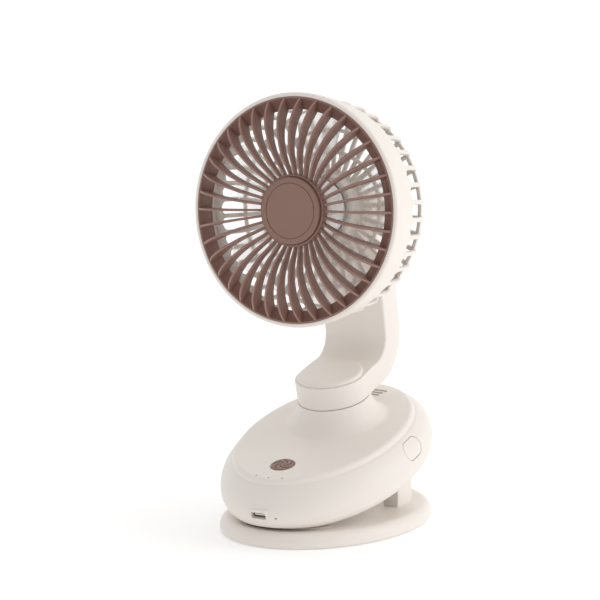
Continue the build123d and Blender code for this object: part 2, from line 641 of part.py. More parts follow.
with BuildPart() as front_grille:
    with BuildSketch(HEAD):
        with BuildLine():
            Polyline((64.3, 0), (RING_R, 0), (RING_R, 5.0), (OPENING_R, 5.0), (OPENING_R, 3.6))
            ThreePointArc((OPENING_R, 3.6), (61.8, 2.6), (64.3, 0))
        make_face()
    revolve(axis=HEAD_AXIS)
    with Locations(HEAD_FACE):
        with PolarLocations(0, FIN_COUNT):
            add(fin.part)
    add(turned([(0, 0.4), (19.9, 0.4), (19.9, -0.5), (20.5, -0.5), (HUB_R, 0), (HUB_R, 4.4), (19.6, 4.4),
                (19.6, 2.4), (0, 2.4)], HEAD, HEAD_AXIS))
write(front_grille.part, "front_grille")

with BuildPart() as grille_badge:
    add(turned([(0, -2.4), (15.7, -2.4), (15.9, -2.1), (16.1, -2.4), (18.9, -2.4), (19.5, -1.9),
                (19.5, 0.4), (0, 0.4)], HEAD, HEAD_AXIS))
write(grille_badge.part, "grille_badge")

RIB_OUTLINE = [(65.2, 22.4), (64.6, 38.0), (63.2, 43.4), (60.0, 46.0), (55.0, REAR_DEPTH),
               (20.5, REAR_DEPTH), (20.5, 44.0), (55.0, 43.8), (59.0, 43.2), (60.8, 41.0),
               (62.0, 37.0), (62.6, 22.4)]
with BuildPart() as rib:
    with BuildSketch(Plane.XZ):
        with BuildLine():
            Polyline(*RIB_OUTLINE, close=True)
        make_face()
    extrude(amount=RIB_T / 2, both=True)

with BuildPart() as rear_grille:
    add(turned([(62.6, 22.2), (65.4, 22.2), (65.2, 25.0), (62.4, 25.0)], HEAD, HEAD_AXIS))
    add(turned([(61.3, 17.0), (63.2, 17.0), (63.2, 25.0), (61.3, 25.0)], HEAD, HEAD_AXIS))
    with Locations(HEAD_FACE):
        with PolarLocations(0, RIB_COUNT, start_angle=180 / RIB_COUNT):
            add(rib.part)
    for outer in (61.0, 48.0, 35.0):
        add(head_ring(outer, outer - 2.4, 43.6, 45.6))
    add(head_ring(22.0, 0, 43.6, REAR_DEPTH))
write(rear_grille.part, "rear_grille")

with BuildPart() as motor_housing:
    add(turned([(21.4, 32.0), (21.4, 43.6), (19.4, 43.6), (19.4, 34.0), (17.6, 34.0), (17.6, 32.0)],
               HEAD, HEAD_AXIS))
write(motor_housing.part, "motor_housing")

MOUNT_FACE = 41.2
with BuildPart() as motor_mount:
    add(head_ring(19.2, 0, MOUNT_FACE, 43.6))
    add(head_ring(5.0, 3.5, 18.0, MOUNT_FACE))
write(motor_mount.part, "motor_mount")

with BuildPart() as motor_bearings:
    for front in (18.6, 37.0):
        add(head_ring(3.5, 1.53, front, front + 3.0))
write(motor_bearings.part, "motor_bearings")

POLES, STATOR_FRONT = 9, 20.0
with BuildPart() as pole:
    with BuildSketch(Plane.XY):
        with Locations((8.5, 0)):
            Rectangle(6, 1.8)
        with Locations((12.3, 0)):
            Rectangle(1.8, 6.0)
    extrude(amount=9.0)
with BuildPart() as winding:
    with BuildSketch(Plane.XY.offset(-1.2)):
        with Locations((9.5, 0)):
            Rectangle(3.0, 4.4)
    extrude(amount=11.4)
    with BuildSketch(Plane.XY):
        with Locations((9.5, 0)):
            Rectangle(3.2, 1.8)
    extrude(amount=9.0, mode=Mode.SUBTRACT)
    fillet(winding.edges().filter_by(Plane.XY).group_by(Axis.Z)[-1].filter_by(Axis.X), 0.8)

with BuildPart() as motor_stator:
    add(head_ring(7.0, 5.0, STATOR_FRONT, STATOR_FRONT + 9.0))
    with Locations(HEAD_FACE.offset(STATOR_FRONT)):
        with PolarLocations(0, POLES):
            add(pole.part)
write(motor_stator.part, "motor_stator")

with BuildPart() as stator_windings:
    with Locations(HEAD_FACE.offset(STATOR_FRONT)):
        with PolarLocations(0, POLES):
            add(winding.part)
write(stator_windings.part, "stator_windings")

with BuildPart() as driver_board:
    add(head_ring(18.6, 5.3, 35.6, 37.0))
write(driver_board.part, "driver_board")

LUG_HALF, LUG_R, LUG_PLATE = 5.5, 8.5, 2.6
with BuildPart() as tilt_lug:
    add(head_ring(15.0, 0, REAR_DEPTH, REAR_DEPTH + LUG_PLATE))
    with BuildSketch(CROSS):
        with Locations((TILT_POINT.Y, HEAD_Z)):
            Circle(LUG_R)
        with BuildLine():
            Polyline((RING_Y + REAR_DEPTH + 0.5, HEAD_Z - 13.0), (TILT_POINT.Y, HEAD_Z - LUG_R),
                     (TILT_POINT.Y, HEAD_Z + LUG_R), (RING_Y + REAR_DEPTH + 0.5, HEAD_Z + 13.0),
                     close=True)
        make_face()
    extrude(amount=LUG_HALF, both=True)
    with BuildSketch(SIDE):
        with Locations((TILT_Y, TILT_Z)):
            Circle(PIN_R + 0.06)
    extrude(amount=LUG_HALF + 1, both=True, mode=Mode.SUBTRACT)
write(tilt_lug.part, "tilt_lug")

with BuildPart() as lug_screws:
    with Locations(HEAD_FACE.offset(REAR_DEPTH + LUG_PLATE)):
        with Locations((-10.5, 0), (10.5, 0)):
            Cylinder(2.0, 1.2, align=(Align.CENTER, Align.CENTER, Align.MIN))
write(lug_screws.part, "lug_screws")

# ---- rotor -----------------------------------------------------------------------------------
BLADE_SECTIONS = [(15.0, 19.0, 48.0), (28.0, 30.0, 38.0), (42.0, 42.0, 31.0), (61.0, 52.0, 25.0)]
BLADE_MID, BLADE_T = 22.0, 1.6
with BuildPart() as blade:
    for radius, chord, pitch in BLADE_SECTIONS:
        section = Plane(origin=(radius, 0, BLADE_MID), x_dir=(0, cos(radians(pitch)), sin(radians(pitch))),
                        z_dir=(1, 0, 0))
        with BuildSketch(section):
            SlotOverall(chord, BLADE_T)
    loft()
    with BuildSketch(Plane.XY):
        Circle(BLADE_R)
    extrude(amount=60, mode=Mode.INTERSECT)

with BuildPart() as fan_blades:
    with Locations(HEAD_FACE):
        with PolarLocations(0, BLADE_COUNT, start_angle=12):
            add(blade.part)
    add(turned([(0, 12.0), (13.0, 12.0), (16.4, 13.4), (17.8, 16.0), (17.8, 30.5), (16.2, 30.5),
                (16.2, 15.6), (0, 15.6)], HEAD, HEAD_AXIS))
    add(turned([(0, 15.6), (16.2, 15.6), (16.2, 40.0), (0, 40.0)], HEAD, HEAD_AXIS), mode=Mode.SUBTRACT)
write(fan_blades.part, "fan_blades")

with BuildPart() as rotor_can:
    add(turned([(1.5, 15.6), (16.2, 15.6), (16.2, 30.5), (15.4, 30.5), (15.4, 16.6), (1.5, 16.6)],
               HEAD, HEAD_AXIS))
write(rotor_can.part, "rotor_can")

with BuildPart() as rotor_magnet:
    add(head_ring(15.4, 13.8, 18.5, 30.0))
write(rotor_magnet.part, "rotor_magnet")

with BuildPart() as motor_shaft:
    add(head_ring(1.5, 0, 15.6, 40.6))
write(motor_shaft.part, "motor_shaft")
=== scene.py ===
"""Desk fan on a clip foot: finished surfaces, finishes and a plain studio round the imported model.

Shapes are worked out in millimetres, in the row frame or in one of three frames inside it: the upper
jaw's, which slopes down to the front, the arm's side view, and the head's, which looks along its axis.
"""
import json
from math import atan2, cos, pi, radians, sin, tan

import bmesh
import bpy
import numpy as np
from bpy.props import FloatProperty, FloatVectorProperty, IntProperty, PointerProperty
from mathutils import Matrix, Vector


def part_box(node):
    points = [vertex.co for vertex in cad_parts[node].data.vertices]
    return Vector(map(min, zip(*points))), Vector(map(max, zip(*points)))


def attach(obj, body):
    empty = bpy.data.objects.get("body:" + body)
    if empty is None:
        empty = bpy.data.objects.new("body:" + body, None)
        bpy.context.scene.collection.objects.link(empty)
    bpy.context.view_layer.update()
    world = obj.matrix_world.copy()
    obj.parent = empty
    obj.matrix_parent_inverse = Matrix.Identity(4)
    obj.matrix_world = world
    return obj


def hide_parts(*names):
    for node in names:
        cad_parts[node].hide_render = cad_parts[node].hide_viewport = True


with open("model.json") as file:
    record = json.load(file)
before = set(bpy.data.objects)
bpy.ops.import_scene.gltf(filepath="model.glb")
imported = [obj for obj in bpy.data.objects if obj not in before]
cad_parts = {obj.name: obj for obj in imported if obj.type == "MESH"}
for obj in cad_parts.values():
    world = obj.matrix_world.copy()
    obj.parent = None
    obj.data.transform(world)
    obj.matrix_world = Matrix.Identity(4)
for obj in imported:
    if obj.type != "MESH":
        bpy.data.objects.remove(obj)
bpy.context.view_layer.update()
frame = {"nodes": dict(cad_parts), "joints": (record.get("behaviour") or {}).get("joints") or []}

bl_info = {
    "name": "Clip Desk Fan",
    "version": (1, 0, 0),
    "blender": (4, 5, 0),
    "location": "3D Viewport > Sidebar > Desk Fan",
    "description": "Builds the visible pieces of a clip desk fan round its packed model",
    "category": "Add Mesh",
}

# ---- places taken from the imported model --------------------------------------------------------
MM = 0.001
TURN = 2 * pi
JOINTS = {joint["name"]: joint for joint in frame["joints"]}
SWIVEL_AXIS = JOINTS["neck_swivel"]["axis"]
SLOPE = atan2(-SWIVEL_AXIS[1], SWIVEL_AXIS[2])      # slope of the upper jaw
CT, ST = cos(SLOPE), sin(SLOPE)
JAW_HEIGHT = 42.0                                   # middle of the upper jaw above the floor
HEAD_Z = JOINTS["head_tilt"]["pos_m"][2] / MM       # height of the fan's axis
RING_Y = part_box("front_housing")[0].y / MM          # front plane of the head's rim
FOOT_HALF_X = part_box("foot_plate")[1].x / MM
FOOT_HALF_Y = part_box("foot_plate")[1].y / MM
JAW_FACE_Z = 11.0                                   # level face under the upper jaw
FINISH = "fan_"                                     # start of every finish's name
SLOT_OF = {name: node.material_slots[0].name.split(".")[0] for name, node in frame["nodes"].items()}


def in_jaw(points):
    """Row-frame place of points given in the upper jaw's frame: x across, y back, z out of the deck."""
    x, y, z = np.moveaxis(np.asarray(points, float), -1, 0)
    return np.stack((x, y * CT - z * ST, JAW_HEIGHT + y * ST + z * CT), -1)


def in_neck(points):
    """Like in_jaw, with y counted from the swivel axis."""
    return in_jaw(np.asarray(points, float) + (0, NECK_Y, 0))


def in_side(points):
    """Side view of the upper jaw and arm: back, up in the jaw's frame, then across."""
    y, z, x = np.moveaxis(np.asarray(points, float), -1, 0)
    return in_jaw(np.stack((x, y, z), -1))


def in_row_side(points):
    """Side view in the row frame: first number back, second up, third across."""
    y, z, x = np.moveaxis(np.asarray(points, float), -1, 0)
    return np.stack((x, y, z), -1)


def in_head(points):
    """Head seen along its axis: x across, y up, z the depth behind the rim's front plane."""
    x, y, depth = np.moveaxis(np.asarray(points, float), -1, 0)
    return np.stack((x, RING_Y + depth, HEAD_Z + y), -1)


def in_row(points):
    return np.asarray(points, float)


def in_front(points):
    """Front wall of the upper jaw: x across, y up the wall, z how far out of it, from the port's middle."""
    x, up, out = np.moveaxis(np.asarray(points, float), -1, 0)
    return in_jaw(np.stack((x, -out, PORT_Z + up), -1))


def key_to_jaw(points):
    """Jaw-frame place of points on the side key: x along it, y up across it, z out of it."""
    along, up, out = np.moveaxis(np.asarray(points, float), -1, 0)
    lean_c, lean_s = cos(KEY_LEAN), sin(KEY_LEAN)
    across, height = KEY_X + out * lean_c - up * lean_s, KEY_Z + out * lean_s + up * lean_c
    return np.stack((across, KEY_Y + along, height), -1)


def in_key(points):
    return in_jaw(key_to_jaw(points))


# ---- shape of the upper jaw and arm, in the jaw's frame ------------------------------------------
PARTING = -9.0
SKIN = [(-9.0, 57.0, 80.6), (-3.5, 58.0, 82.5), (2.0, 57.4, 81.4), (6.5, 55.6, 78.6), (9.8, 53.0, 75.2),
        (12.0, 50.7, 71.8)]                         # height, half width, half length
LOWER_SKIN = [(-15.2, 50.5, 70.5), (-13.2, 53.8, 75.6), (-9.0, 57.0, 80.6)]
DECK_STEP = [(0.0, 12.0), (0.7, 12.3), (1.15, 12.95), (1.5, 13.7), (2.15, 14.55), (3.1, 15.1), (4.4, 15.3)]
DECK_TOP = 15.3
WALL = 2.0
NECK_Y = 15.7
NECK_FLARE = [(33.2, 15.3), (31.2, 15.6), (29.6, 16.4), (27.2, 18.4), (25.2, 21.5), (23.6, 25.0),
              (22.2, 29.3)]                         # radius, height
NECK_BORE = [(29.3, 8.1), (26.2, 8.1), (26.2, 20.4), (19.0, 23.0), (13.3, 28.0)]     # height, radius
INNER_DECK = [(13.3, 45.4, 66.0), (12.0, 46.2, 66.8)]                               # as SKIN
LOWER_FLOOR = [(0, 0), (20, 28), (36, 50), (46, 64.5), (49.6, 69.5)]                # half width, half length
LOWER_INSIDE = [(47, 66), (20, 28), (0, 0)]
LEG_SLOT_X, LEG_SLOT_Y = 35.0, 24.5
PORT_Z = -1.1
PORT_W, PORT_H, PORT_CORNER = 9.6, 3.8, 1.0
LAMP_SPOTS = [(-8.5, -66.2), (0.0, -67.0), (8.5, -66.2)]
LAMP_R = 0.6
CHARGE_SPOT = (10.2, -1.4)
PORT_DEPTH, PORT_FACE = 60.0, 83.0                  # how far out the port's hole starts, and its raised face
KEY_X, KEY_Y, KEY_Z, KEY_LEAN = 56.0, 5.0, 5.7, radians(27)
KEY_L, KEY_W = 20.0, 12.0
BUTTON_Y, BUTTON_R, BUTTON_GAP = -50.5, 7.0, 0.45
BUTTON_EDGE = 0.5
PETALS, PETAL_TWIST, PETAL_DEPTH = 5, 0.34, 0.28    # swirl engraved in the power button
VENT_Y, VENT_STEP, VENT_L, VENT_GROW = 52.9, 3.3, 21.8, 2.6
VENT_W, VENT_BEND = 2.0, 80.0
ARM_LOW, PUCK_R, PUCK_TOP, SLAB_TOP = 29.7, 21.8, 43.4, 44.4
ARM_HALF, ARM_EDGE = 21.5, 1.4
LID_R, LID_TOP = 20.2, 45.8
BEND_OUT, BEND_IN = 30.0, 15.0
ARM_T, ARM_LEAN = 19.5, radians(3.2)
SLAB_FOOT_Y, SLAB_FOOT_Z = 51.7, 51.9
TILT_PIN = [value / MM for value in JOINTS["head_tilt"]["pos_m"]]
TILT_Y = TILT_PIN[1] * CT + (TILT_PIN[2] - JAW_HEIGHT) * ST
TILT_Z = (TILT_PIN[2] - JAW_HEIGHT) * CT - TILT_PIN[1] * ST
HINGE_Y = JOINTS["clip_hinge"]["pos_m"][1] / MM
HINGE_Z = JOINTS["clip_hinge"]["pos_m"][2] / MM

# ---- shape of the head: radius and depth ----------------------------------------------------------
HUB_R = 21.0
RING_OUT, RING_IN = 65.0, 58.0
FIN_FRONT = [(64.4, 0.2), (59.0, -5.2), (55.3, -7.5), (51.0, -9.1), (45.5, -9.8), (40.0, -9.4), (33.0, -7.6),
             (26.5, -3.8), (20.5, 0.6)]
FIN_BACK = [(64.4, 4.0), (58.6, 3.8), (53.0, 0.6), (48.0, -1.6), (44.0, -2.6), (39.5, -3.0), (33.0, -2.0),
            (27.0, 0.4), (20.5, 3.2)]
REAR_FACE = 46.4
HOOPS, HOOP_DEPTH = (59.8, 46.8, 33.8), 44.6        # radii and depth of the basket's hoops


# ---- curves ----------------------------------------------------------------------------------------
def smooth(points, count):
    """Curve through points: cubic pieces whose slope at each point comes from its two neighbours."""
    points = np.asarray(points, float)
    run = np.concatenate(([0.0], np.cumsum(np.linalg.norm(np.diff(points, axis=0), axis=1))))
    slope = np.gradient(points, run, axis=0, edge_order=2)
    at = np.linspace(0, run[-1], count)
    i = np.clip(np.searchsorted(run, at, "right") - 1, 0, len(run) - 2)
    length = (run[i + 1] - run[i])[:, None]
    u = (at - run[i])[:, None] / length
    return ((1 + 2 * u) * (1 - u) ** 2 * points[i] + u * (1 - u) ** 2 * length * slope[i]
            + u * u * (3 - 2 * u) * points[i + 1] + u * u * (u - 1) * length * slope[i + 1])


def arc(centre, radius, start, end, count):
    """Points of a circle's arc between two angles in degrees."""
    angle = np.radians(np.linspace(start, end, count))
    return np.column_stack((centre[0] + radius * np.cos(angle), centre[1] + radius * np.sin(angle)))


def line(start, end, count):
    return np.linspace(start, end, count)


def ellipse(half_x, half_y, count):
    angle = np.linspace(0, TURN, count, endpoint=False)
    return np.column_stack((half_x * np.cos(angle), half_y * np.sin(angle)))


def rounded_rectangle(width, height, radius, count=8):
    """Outline of a rectangle with round corners, anticlockwise; count points in each corner."""
    x, y = width / 2 - radius, height / 2 - radius
    corners = [((x, y), 0), ((-x, y), 90), ((-x, -y), 180), ((x, -y), 270)]
    return np.vstack([arc(middle, radius, start, start + 90, count) for middle, start in corners])


def racetrack(length, width, count=16):
    """Rounded rectangle whose ends are half circles."""
    x, radius = (length - width) / 2, width / 2
    return np.vstack((arc((x, 0), radius, -90, 90, count), arc((-x, 0), radius, 90, 270, count)))


def outward(outline):
    """Outward mitre vector at each corner of an anticlockwise outline, one unit away from both edges."""
    after = np.roll(outline, -1, axis=0) - outline
    after /= np.linalg.norm(after, axis=1)[:, None]
    before = np.roll(after, 1, axis=0)
    total = np.column_stack((before[:, 1] + after[:, 1], -before[:, 0] - after[:, 0]))
    return 2 * total / np.sum(total ** 2, axis=1)[:, None]


def rounded_levels(low, high, radius, count=5):
    """(inset, height) levels of a slab whose two edges are quarter circles."""
    angle = np.radians(np.linspace(0, 90, count))
    up = [(radius * (1 - sin(a)), low + radius * (1 - cos(a))) for a in angle]
    down = [(radius * (1 - sin(a)), high - radius * (1 - cos(a))) for a in angle[::-1]]
    return up + down


# ---- surfaces ---------------------------------------------------------------------------------------
def grid_faces(rows, columns, loop_rows, loop_columns):
    """Array of the quads of a grid of points numbered row by row; a loop joins its last line to its first."""
    row = np.arange(rows if loop_rows else rows - 1)[:, None]
    column = np.arange(columns if loop_columns else columns - 1)[None, :]
    next_row, next_column = (row + 1) % rows, (column + 1) % columns
    corners = (row * columns + column, row * columns + next_column,
               next_row * columns + next_column, next_row * columns + column)
    return np.stack(corners, -1).reshape(-1, 4)


def surface(points, loop_rows=False, loop_columns=True):
    """Part made of one grid of points, an array of rows, columns and three coordinates.

    A part is its points and a list of face arrays, one array for each number of corners.
    """
    rows, columns = points.shape[:2]
    return points.reshape(-1, 3), [grid_faces(rows, columns, loop_rows, loop_columns)]


def capped(points):
    """Part from one tube-like grid, its first and last rows closed by a flat face."""
    part, faces = surface(points)
    rows, columns = points.shape[:2]
    first = np.arange(columns)[None, :]
    return part, faces + [first[:, ::-1], first + (rows - 1) * columns]


def turned(profile, place, columns=192):
    """Part made by turning a profile of (radius, height) round the third axis of its frame.

    A profile that starts and ends on the axis is closed by its two poles, any other by its own loop.
    """
    profile = np.asarray(profile, float)
    angle = np.linspace(0, TURN, columns, endpoint=False)[None, :]
    radius, height = profile[:, :1], profile[:, 1:]
    points = np.stack((radius * np.cos(angle), radius * np.sin(angle), height + 0 * angle), -1)
    return surface(place(points), loop_rows=profile[0, 0] > 0 or profile[-1, 0] > 0)


def prism(outline, levels, place, middle=(0, 0)):
    """Part with one outline repeated at (inset, height) levels, and a flat face at each end."""
    away = outward(outline)
    rings = [np.column_stack((outline - inset * away + middle, np.full(len(outline), height)))
             for inset, height in levels]
    return capped(place(np.array(rings)))


def ovals(table, columns, place=in_jaw):
    """Grid whose rows are ellipses, given as (middle y, height, half x, half y)."""
    middle, height, half_x, half_y = np.asarray(table, float).T[..., None]
    angle = np.linspace(0, TURN, columns, endpoint=False)[None, :]
    return place(np.stack((half_x * np.cos(angle), middle + half_y * np.sin(angle), height + 0 * angle), -1))


def swept(path, across, width, thickness, edge, count=4):
    """Grid of a rounded bar along a path in a plane, as rows of (in-plane u, v, out-of-plane).

    At each point of the path stands a rounded rectangle, that wide out of the plane and that thick across the
    path: a point of it is the corner's centre, half the size less the edge radius, plus that radius round it.
    """
    width = np.broadcast_to(np.asarray(width, float), len(path))
    thickness = np.broadcast_to(np.asarray(thickness, float), len(path))
    radius = np.minimum(edge, 0.49 * np.minimum(width, thickness))[:, None]
    angle = np.radians(np.concatenate([np.linspace(q, q + 90, count) for q in (0, 90, 180, 270)]))[None, :]
    corner = np.radians(np.repeat((45, 135, 225, 315), count))[None, :]
    w = np.sign(np.cos(corner)) * (width[:, None] / 2 - radius) + radius * np.cos(angle)
    t = np.sign(np.sin(corner)) * (thickness[:, None] / 2 - radius) + radius * np.sin(angle)
    u = path[:, :1] + across[:, :1] * t
    v = path[:, 1:] + across[:, 1:] * t
    return np.stack((u, v, w), -1)


def head_section(grid):
    """Place of a swept bar of the head, whose plane goes through the fan's axis."""
    return in_head(np.stack((grid[..., 0], grid[..., 2], grid[..., 1]), -1))


def spun(part, count, start=0.0):
    """Copies of a part of the head, turned evenly round the fan's axis."""
    points, faces = part
    x, y, z = (points - (0, 0, HEAD_Z)).T[:, None, :]
    turn = (start + np.arange(count) * TURN / count)[:, None]
    copies = np.stack((x * np.cos(turn) - z * np.sin(turn), y + 0 * turn,
                       x * np.sin(turn) + z * np.cos(turn) + HEAD_Z), -1)
    shift = np.arange(count)[:, None, None] * len(points)
    return copies.reshape(-1, 3), [(group[None] + shift).reshape(-1, group.shape[1]) for group in faces]


def build_mesh(name, parts, weld=1e-7):
    """Mesh of all parts, in metres, with poles and seams welded and faces turned outwards."""
    starts = np.cumsum([0] + [len(points) for points, _ in parts])
    groups = [group + start for (_, faces), start in zip(parts, starts) for group in faces]
    mesh = bpy.data.meshes.new(name)
    mesh.from_pydata(np.vstack([points for points, _ in parts]) * MM, [],
                     [face for group in groups for face in group.tolist()])
    shape = bmesh.new()
    shape.from_mesh(mesh)
    bmesh.ops.remove_doubles(shape, verts=shape.verts, dist=weld)
    bmesh.ops.dissolve_degenerate(shape, edges=shape.edges, dist=weld)
    bmesh.ops.recalc_face_normals(shape, faces=shape.faces)
    shape.to_mesh(mesh)
    shape.free()
    return mesh


def cut(piece, parts, operation="DIFFERENCE"):
    """Take parts out of a piece, or join them to it, with an exact boolean whose result is kept."""
    cutter = bpy.data.objects.new("cutter", build_mesh("cutter", parts))
    bpy.context.scene.collection.objects.link(cutter)
    modifier = piece.modifiers.new("cut", "BOOLEAN")
    modifier.operation = operation
    modifier.solver = "EXACT"
    modifier.use_self = True
    modifier.object = cutter
    bpy.context.view_layer.update()
    result = bpy.data.meshes.new_from_object(piece.evaluated_get(bpy.context.evaluated_depsgraph_get()))
    piece.modifiers.clear()
    bpy.data.objects.remove(cutter)
    result.name = piece.data.name
    piece.data = result


def add_piece(name, parts):
    piece = bpy.data.objects.new(name, build_mesh(name, parts))
    bpy.context.scene.collection.objects.link(piece)
    return piece


def finish_piece(piece, body, finish, nodes, crease=32):
    """Shade a piece, give it its finish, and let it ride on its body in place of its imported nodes."""
    piece.data.shade_smooth()
    piece.data.set_sharp_from_angle(angle=radians(crease))
    piece.data.materials.clear()
    piece.data.materials.append(bpy.data.materials[FINISH + finish])
    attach(piece, body)
    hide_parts(*nodes)


# ---- finishes ----------------------------------------------------------------------------------------
MIX_FAC, MIX_LOW, MIX_HIGH, MIX_RESULT = 0, 6, 7, 2     # a Mix node's sockets for colours, by number
GRAIN_RELIEF = 0.06


def node_tree(name):
    """Node tree and principled shader of a new material."""
    material = bpy.data.materials.new(FINISH + name)
    material.use_nodes = True
    return material.node_tree, material.node_tree.nodes["Principled BSDF"]


def noise(tree, scale, detail, stretch=(1, 1, 1)):
    """Noise on object coordinates, scale in waves per metre."""
    place = tree.nodes.new("ShaderNodeTexCoord")
    mapping = tree.nodes.new("ShaderNodeMapping")
    mapping.inputs["Scale"].default_value = stretch
    texture = tree.nodes.new("ShaderNodeTexNoise")
    texture.inputs["Scale"].default_value = scale
    texture.inputs["Detail"].default_value = detail
    tree.links.new(place.outputs["Object"], mapping.inputs["Vector"])
    tree.links.new(mapping.outputs["Vector"], texture.inputs["Vector"])
    return texture.outputs["Fac"]


def vary_colour(tree, shader, fac, low, high):
    mix = tree.nodes.new("ShaderNodeMix")
    mix.data_type = "RGBA"
    mix.inputs[MIX_LOW].default_value = (*low, 1)
    mix.inputs[MIX_HIGH].default_value = (*high, 1)
    tree.links.new(fac, mix.inputs[MIX_FAC])
    tree.links.new(mix.outputs[MIX_RESULT], shader.inputs["Base Color"])


def vary_roughness(tree, shader, fac, low, high):
    spread = tree.nodes.new("ShaderNodeMapRange")
    spread.inputs["From Min"].default_value = 0.3
    spread.inputs["From Max"].default_value = 0.7
    spread.inputs["To Min"].default_value = low
    spread.inputs["To Max"].default_value = high
    tree.links.new(fac, spread.inputs["Value"])
    tree.links.new(spread.outputs["Result"], shader.inputs["Roughness"])


def add_bump(tree, shader, height, strength, distance):
    bump = tree.nodes.new("ShaderNodeBump")
    bump.inputs["Strength"].default_value = strength
    bump.inputs["Distance"].default_value = distance
    tree.links.new(height, bump.inputs["Height"])
    tree.links.new(bump.outputs["Normal"], shader.inputs["Normal"])


def shade(colour, factor):
    return tuple(min(1.0, channel * factor) for channel in colour)


def moulded(name, colour, roughness, grain=2600.0, contrast=0.02):
    """Injection-moulded plastic: faint tone drift, fine spark-eroded grain, uneven sheen."""
    tree, shader = node_tree(name)
    drift = noise(tree, 22.0, 3.0)
    vary_colour(tree, shader, drift, shade(colour, 1 - contrast), shade(colour, 1 + contrast))
    vary_roughness(tree, shader, noise(tree, 90.0, 4.0), roughness - 0.05, roughness + 0.06)
    add_bump(tree, shader, noise(tree, grain, 2.0), GRAIN_RELIEF, 0.00005)
    return tree, shader


def metal(name, colour, roughness, stretch=(1, 1, 1)):
    """Machined metal: fine brushed scratches along one direction."""
    tree, shader = node_tree(name)
    brushed = noise(tree, 900.0, 3.0, stretch)
    shader.inputs["Metallic"].default_value = 1.0
    vary_colour(tree, shader, brushed, shade(colour, 0.9), shade(colour, 1.08))
    vary_roughness(tree, shader, brushed, roughness - 0.06, roughness + 0.1)
    add_bump(tree, shader, brushed, 0.1, 0.00003)


def rubber(name, colour):
    """Soft rubber with a pebbled skin."""
    tree, shader = node_tree(name)
    pebble = noise(tree, 1400.0, 4.0)
    vary_colour(tree, shader, pebble, shade(colour, 0.94), shade(colour, 1.03))
    vary_roughness(tree, shader, pebble, 0.62, 0.8)
    add_bump(tree, shader, pebble, 0.25, 0.00008)


def frosted(name, colour):
    """Hazy clear blade plastic: light passes through and is softened by a skin of uneven roughness."""
    tree, shader = node_tree(name)
    cloud = noise(tree, 60.0, 4.0)
    shader.inputs["Transmission Weight"].default_value = 0.9
    shader.inputs["IOR"].default_value = 1.1
    vary_colour(tree, shader, cloud, shade(colour, 0.97), shade(colour, 1.02))
    vary_roughness(tree, shader, cloud, 0.24, 0.34)


def board(name, colour):
    """Circuit board: lacquered weave with darker tracks."""
    tree, shader = node_tree(name)
    tracks = noise(tree, 420.0, 1.0, (1, 6, 1))
    vary_colour(tree, shader, tracks, shade(colour, 0.6), shade(colour, 1.25))
    vary_roughness(tree, shader, tracks, 0.3, 0.45)
    add_bump(tree, shader, tracks, 0.2, 0.00004)


def lens(name, colour):
    """Small moulded light guide."""
    tree, shader = node_tree(name)
    haze = noise(tree, 700.0, 2.0)
    vary_colour(tree, shader, haze, shade(colour, 0.9), shade(colour, 1.1))
    vary_roughness(tree, shader, haze, 0.2, 0.34)
    shader.inputs["Transmission Weight"].default_value = 0.25


def engraved(name, colour):
    """Moulded plastic with painted shade in its engraving: darker where the piece's own attribute says the
    swirl is deep.
    """
    tree, shader = moulded(name, colour, 0.42)
    groove = tree.nodes.new("ShaderNodeAttribute")
    groove.attribute_name = "groove"
    # painted shade: the swirl's grooves are darkened to 0.35 of the plastic's colour
    darker = tree.nodes.new("ShaderNodeMix")
    darker.data_type = "RGBA"
    darker.inputs[MIX_HIGH].default_value = (*shade(colour, 0.35), 1)
    tree.links.new(groove.outputs["Fac"], darker.inputs[MIX_FAC])
    tree.links.new(shader.inputs["Base Color"].links[0].from_socket, darker.inputs[MIX_LOW])
    tree.links.new(darker.outputs[MIX_RESULT], shader.inputs["Base Color"])


def colour_property(name, description, value):
    return FloatVectorProperty(name=name, description=description, subtype="COLOR", size=3, min=0, max=1,
                               default=value)


def length_property(name, description, value):
    return FloatProperty(name=name, description=description, default=value, min=0, unit="LENGTH")


class FanColours(bpy.types.PropertyGroup):
    """Colours of the fan's visible finishes."""
    cream: colour_property("Cream", "Casing plastic", (0.83, 0.773, 0.718))
    brown: colour_property("Brown", "Grille, hub and power button", (0.288, 0.161, 0.129))
    badge: colour_property("Hub brown", "Lighter brown of the hub's disc", (0.252, 0.143, 0.108))
    blade: colour_property("Blade", "Frosted fan blades", (0.97, 0.965, 0.95))
    rubber: colour_property("Rubber", "Jaw pads and sole", (0.78, 0.72, 0.66))


class FanSizes(bpy.types.PropertyGroup):
    """Counts and small sizes of the fan's visible pieces."""
    fins: IntProperty(name="Fins", description="Fins of the front grille", default=38, min=6)
    fin_thickness: length_property("Fin thickness", "Thickness of a grille fin", 1.3 * MM)
    ribs: IntProperty(name="Ribs", description="Ribs of the rear basket", default=40, min=6)
    rib_width: length_property("Rib width", "Width of a basket rib", 2.7 * MM)
    blades: IntProperty(name="Blades", description="Blades of the fan", default=5, min=2)
    vents: IntProperty(name="Vent slots", description="Slots behind the arm", default=3, min=1)


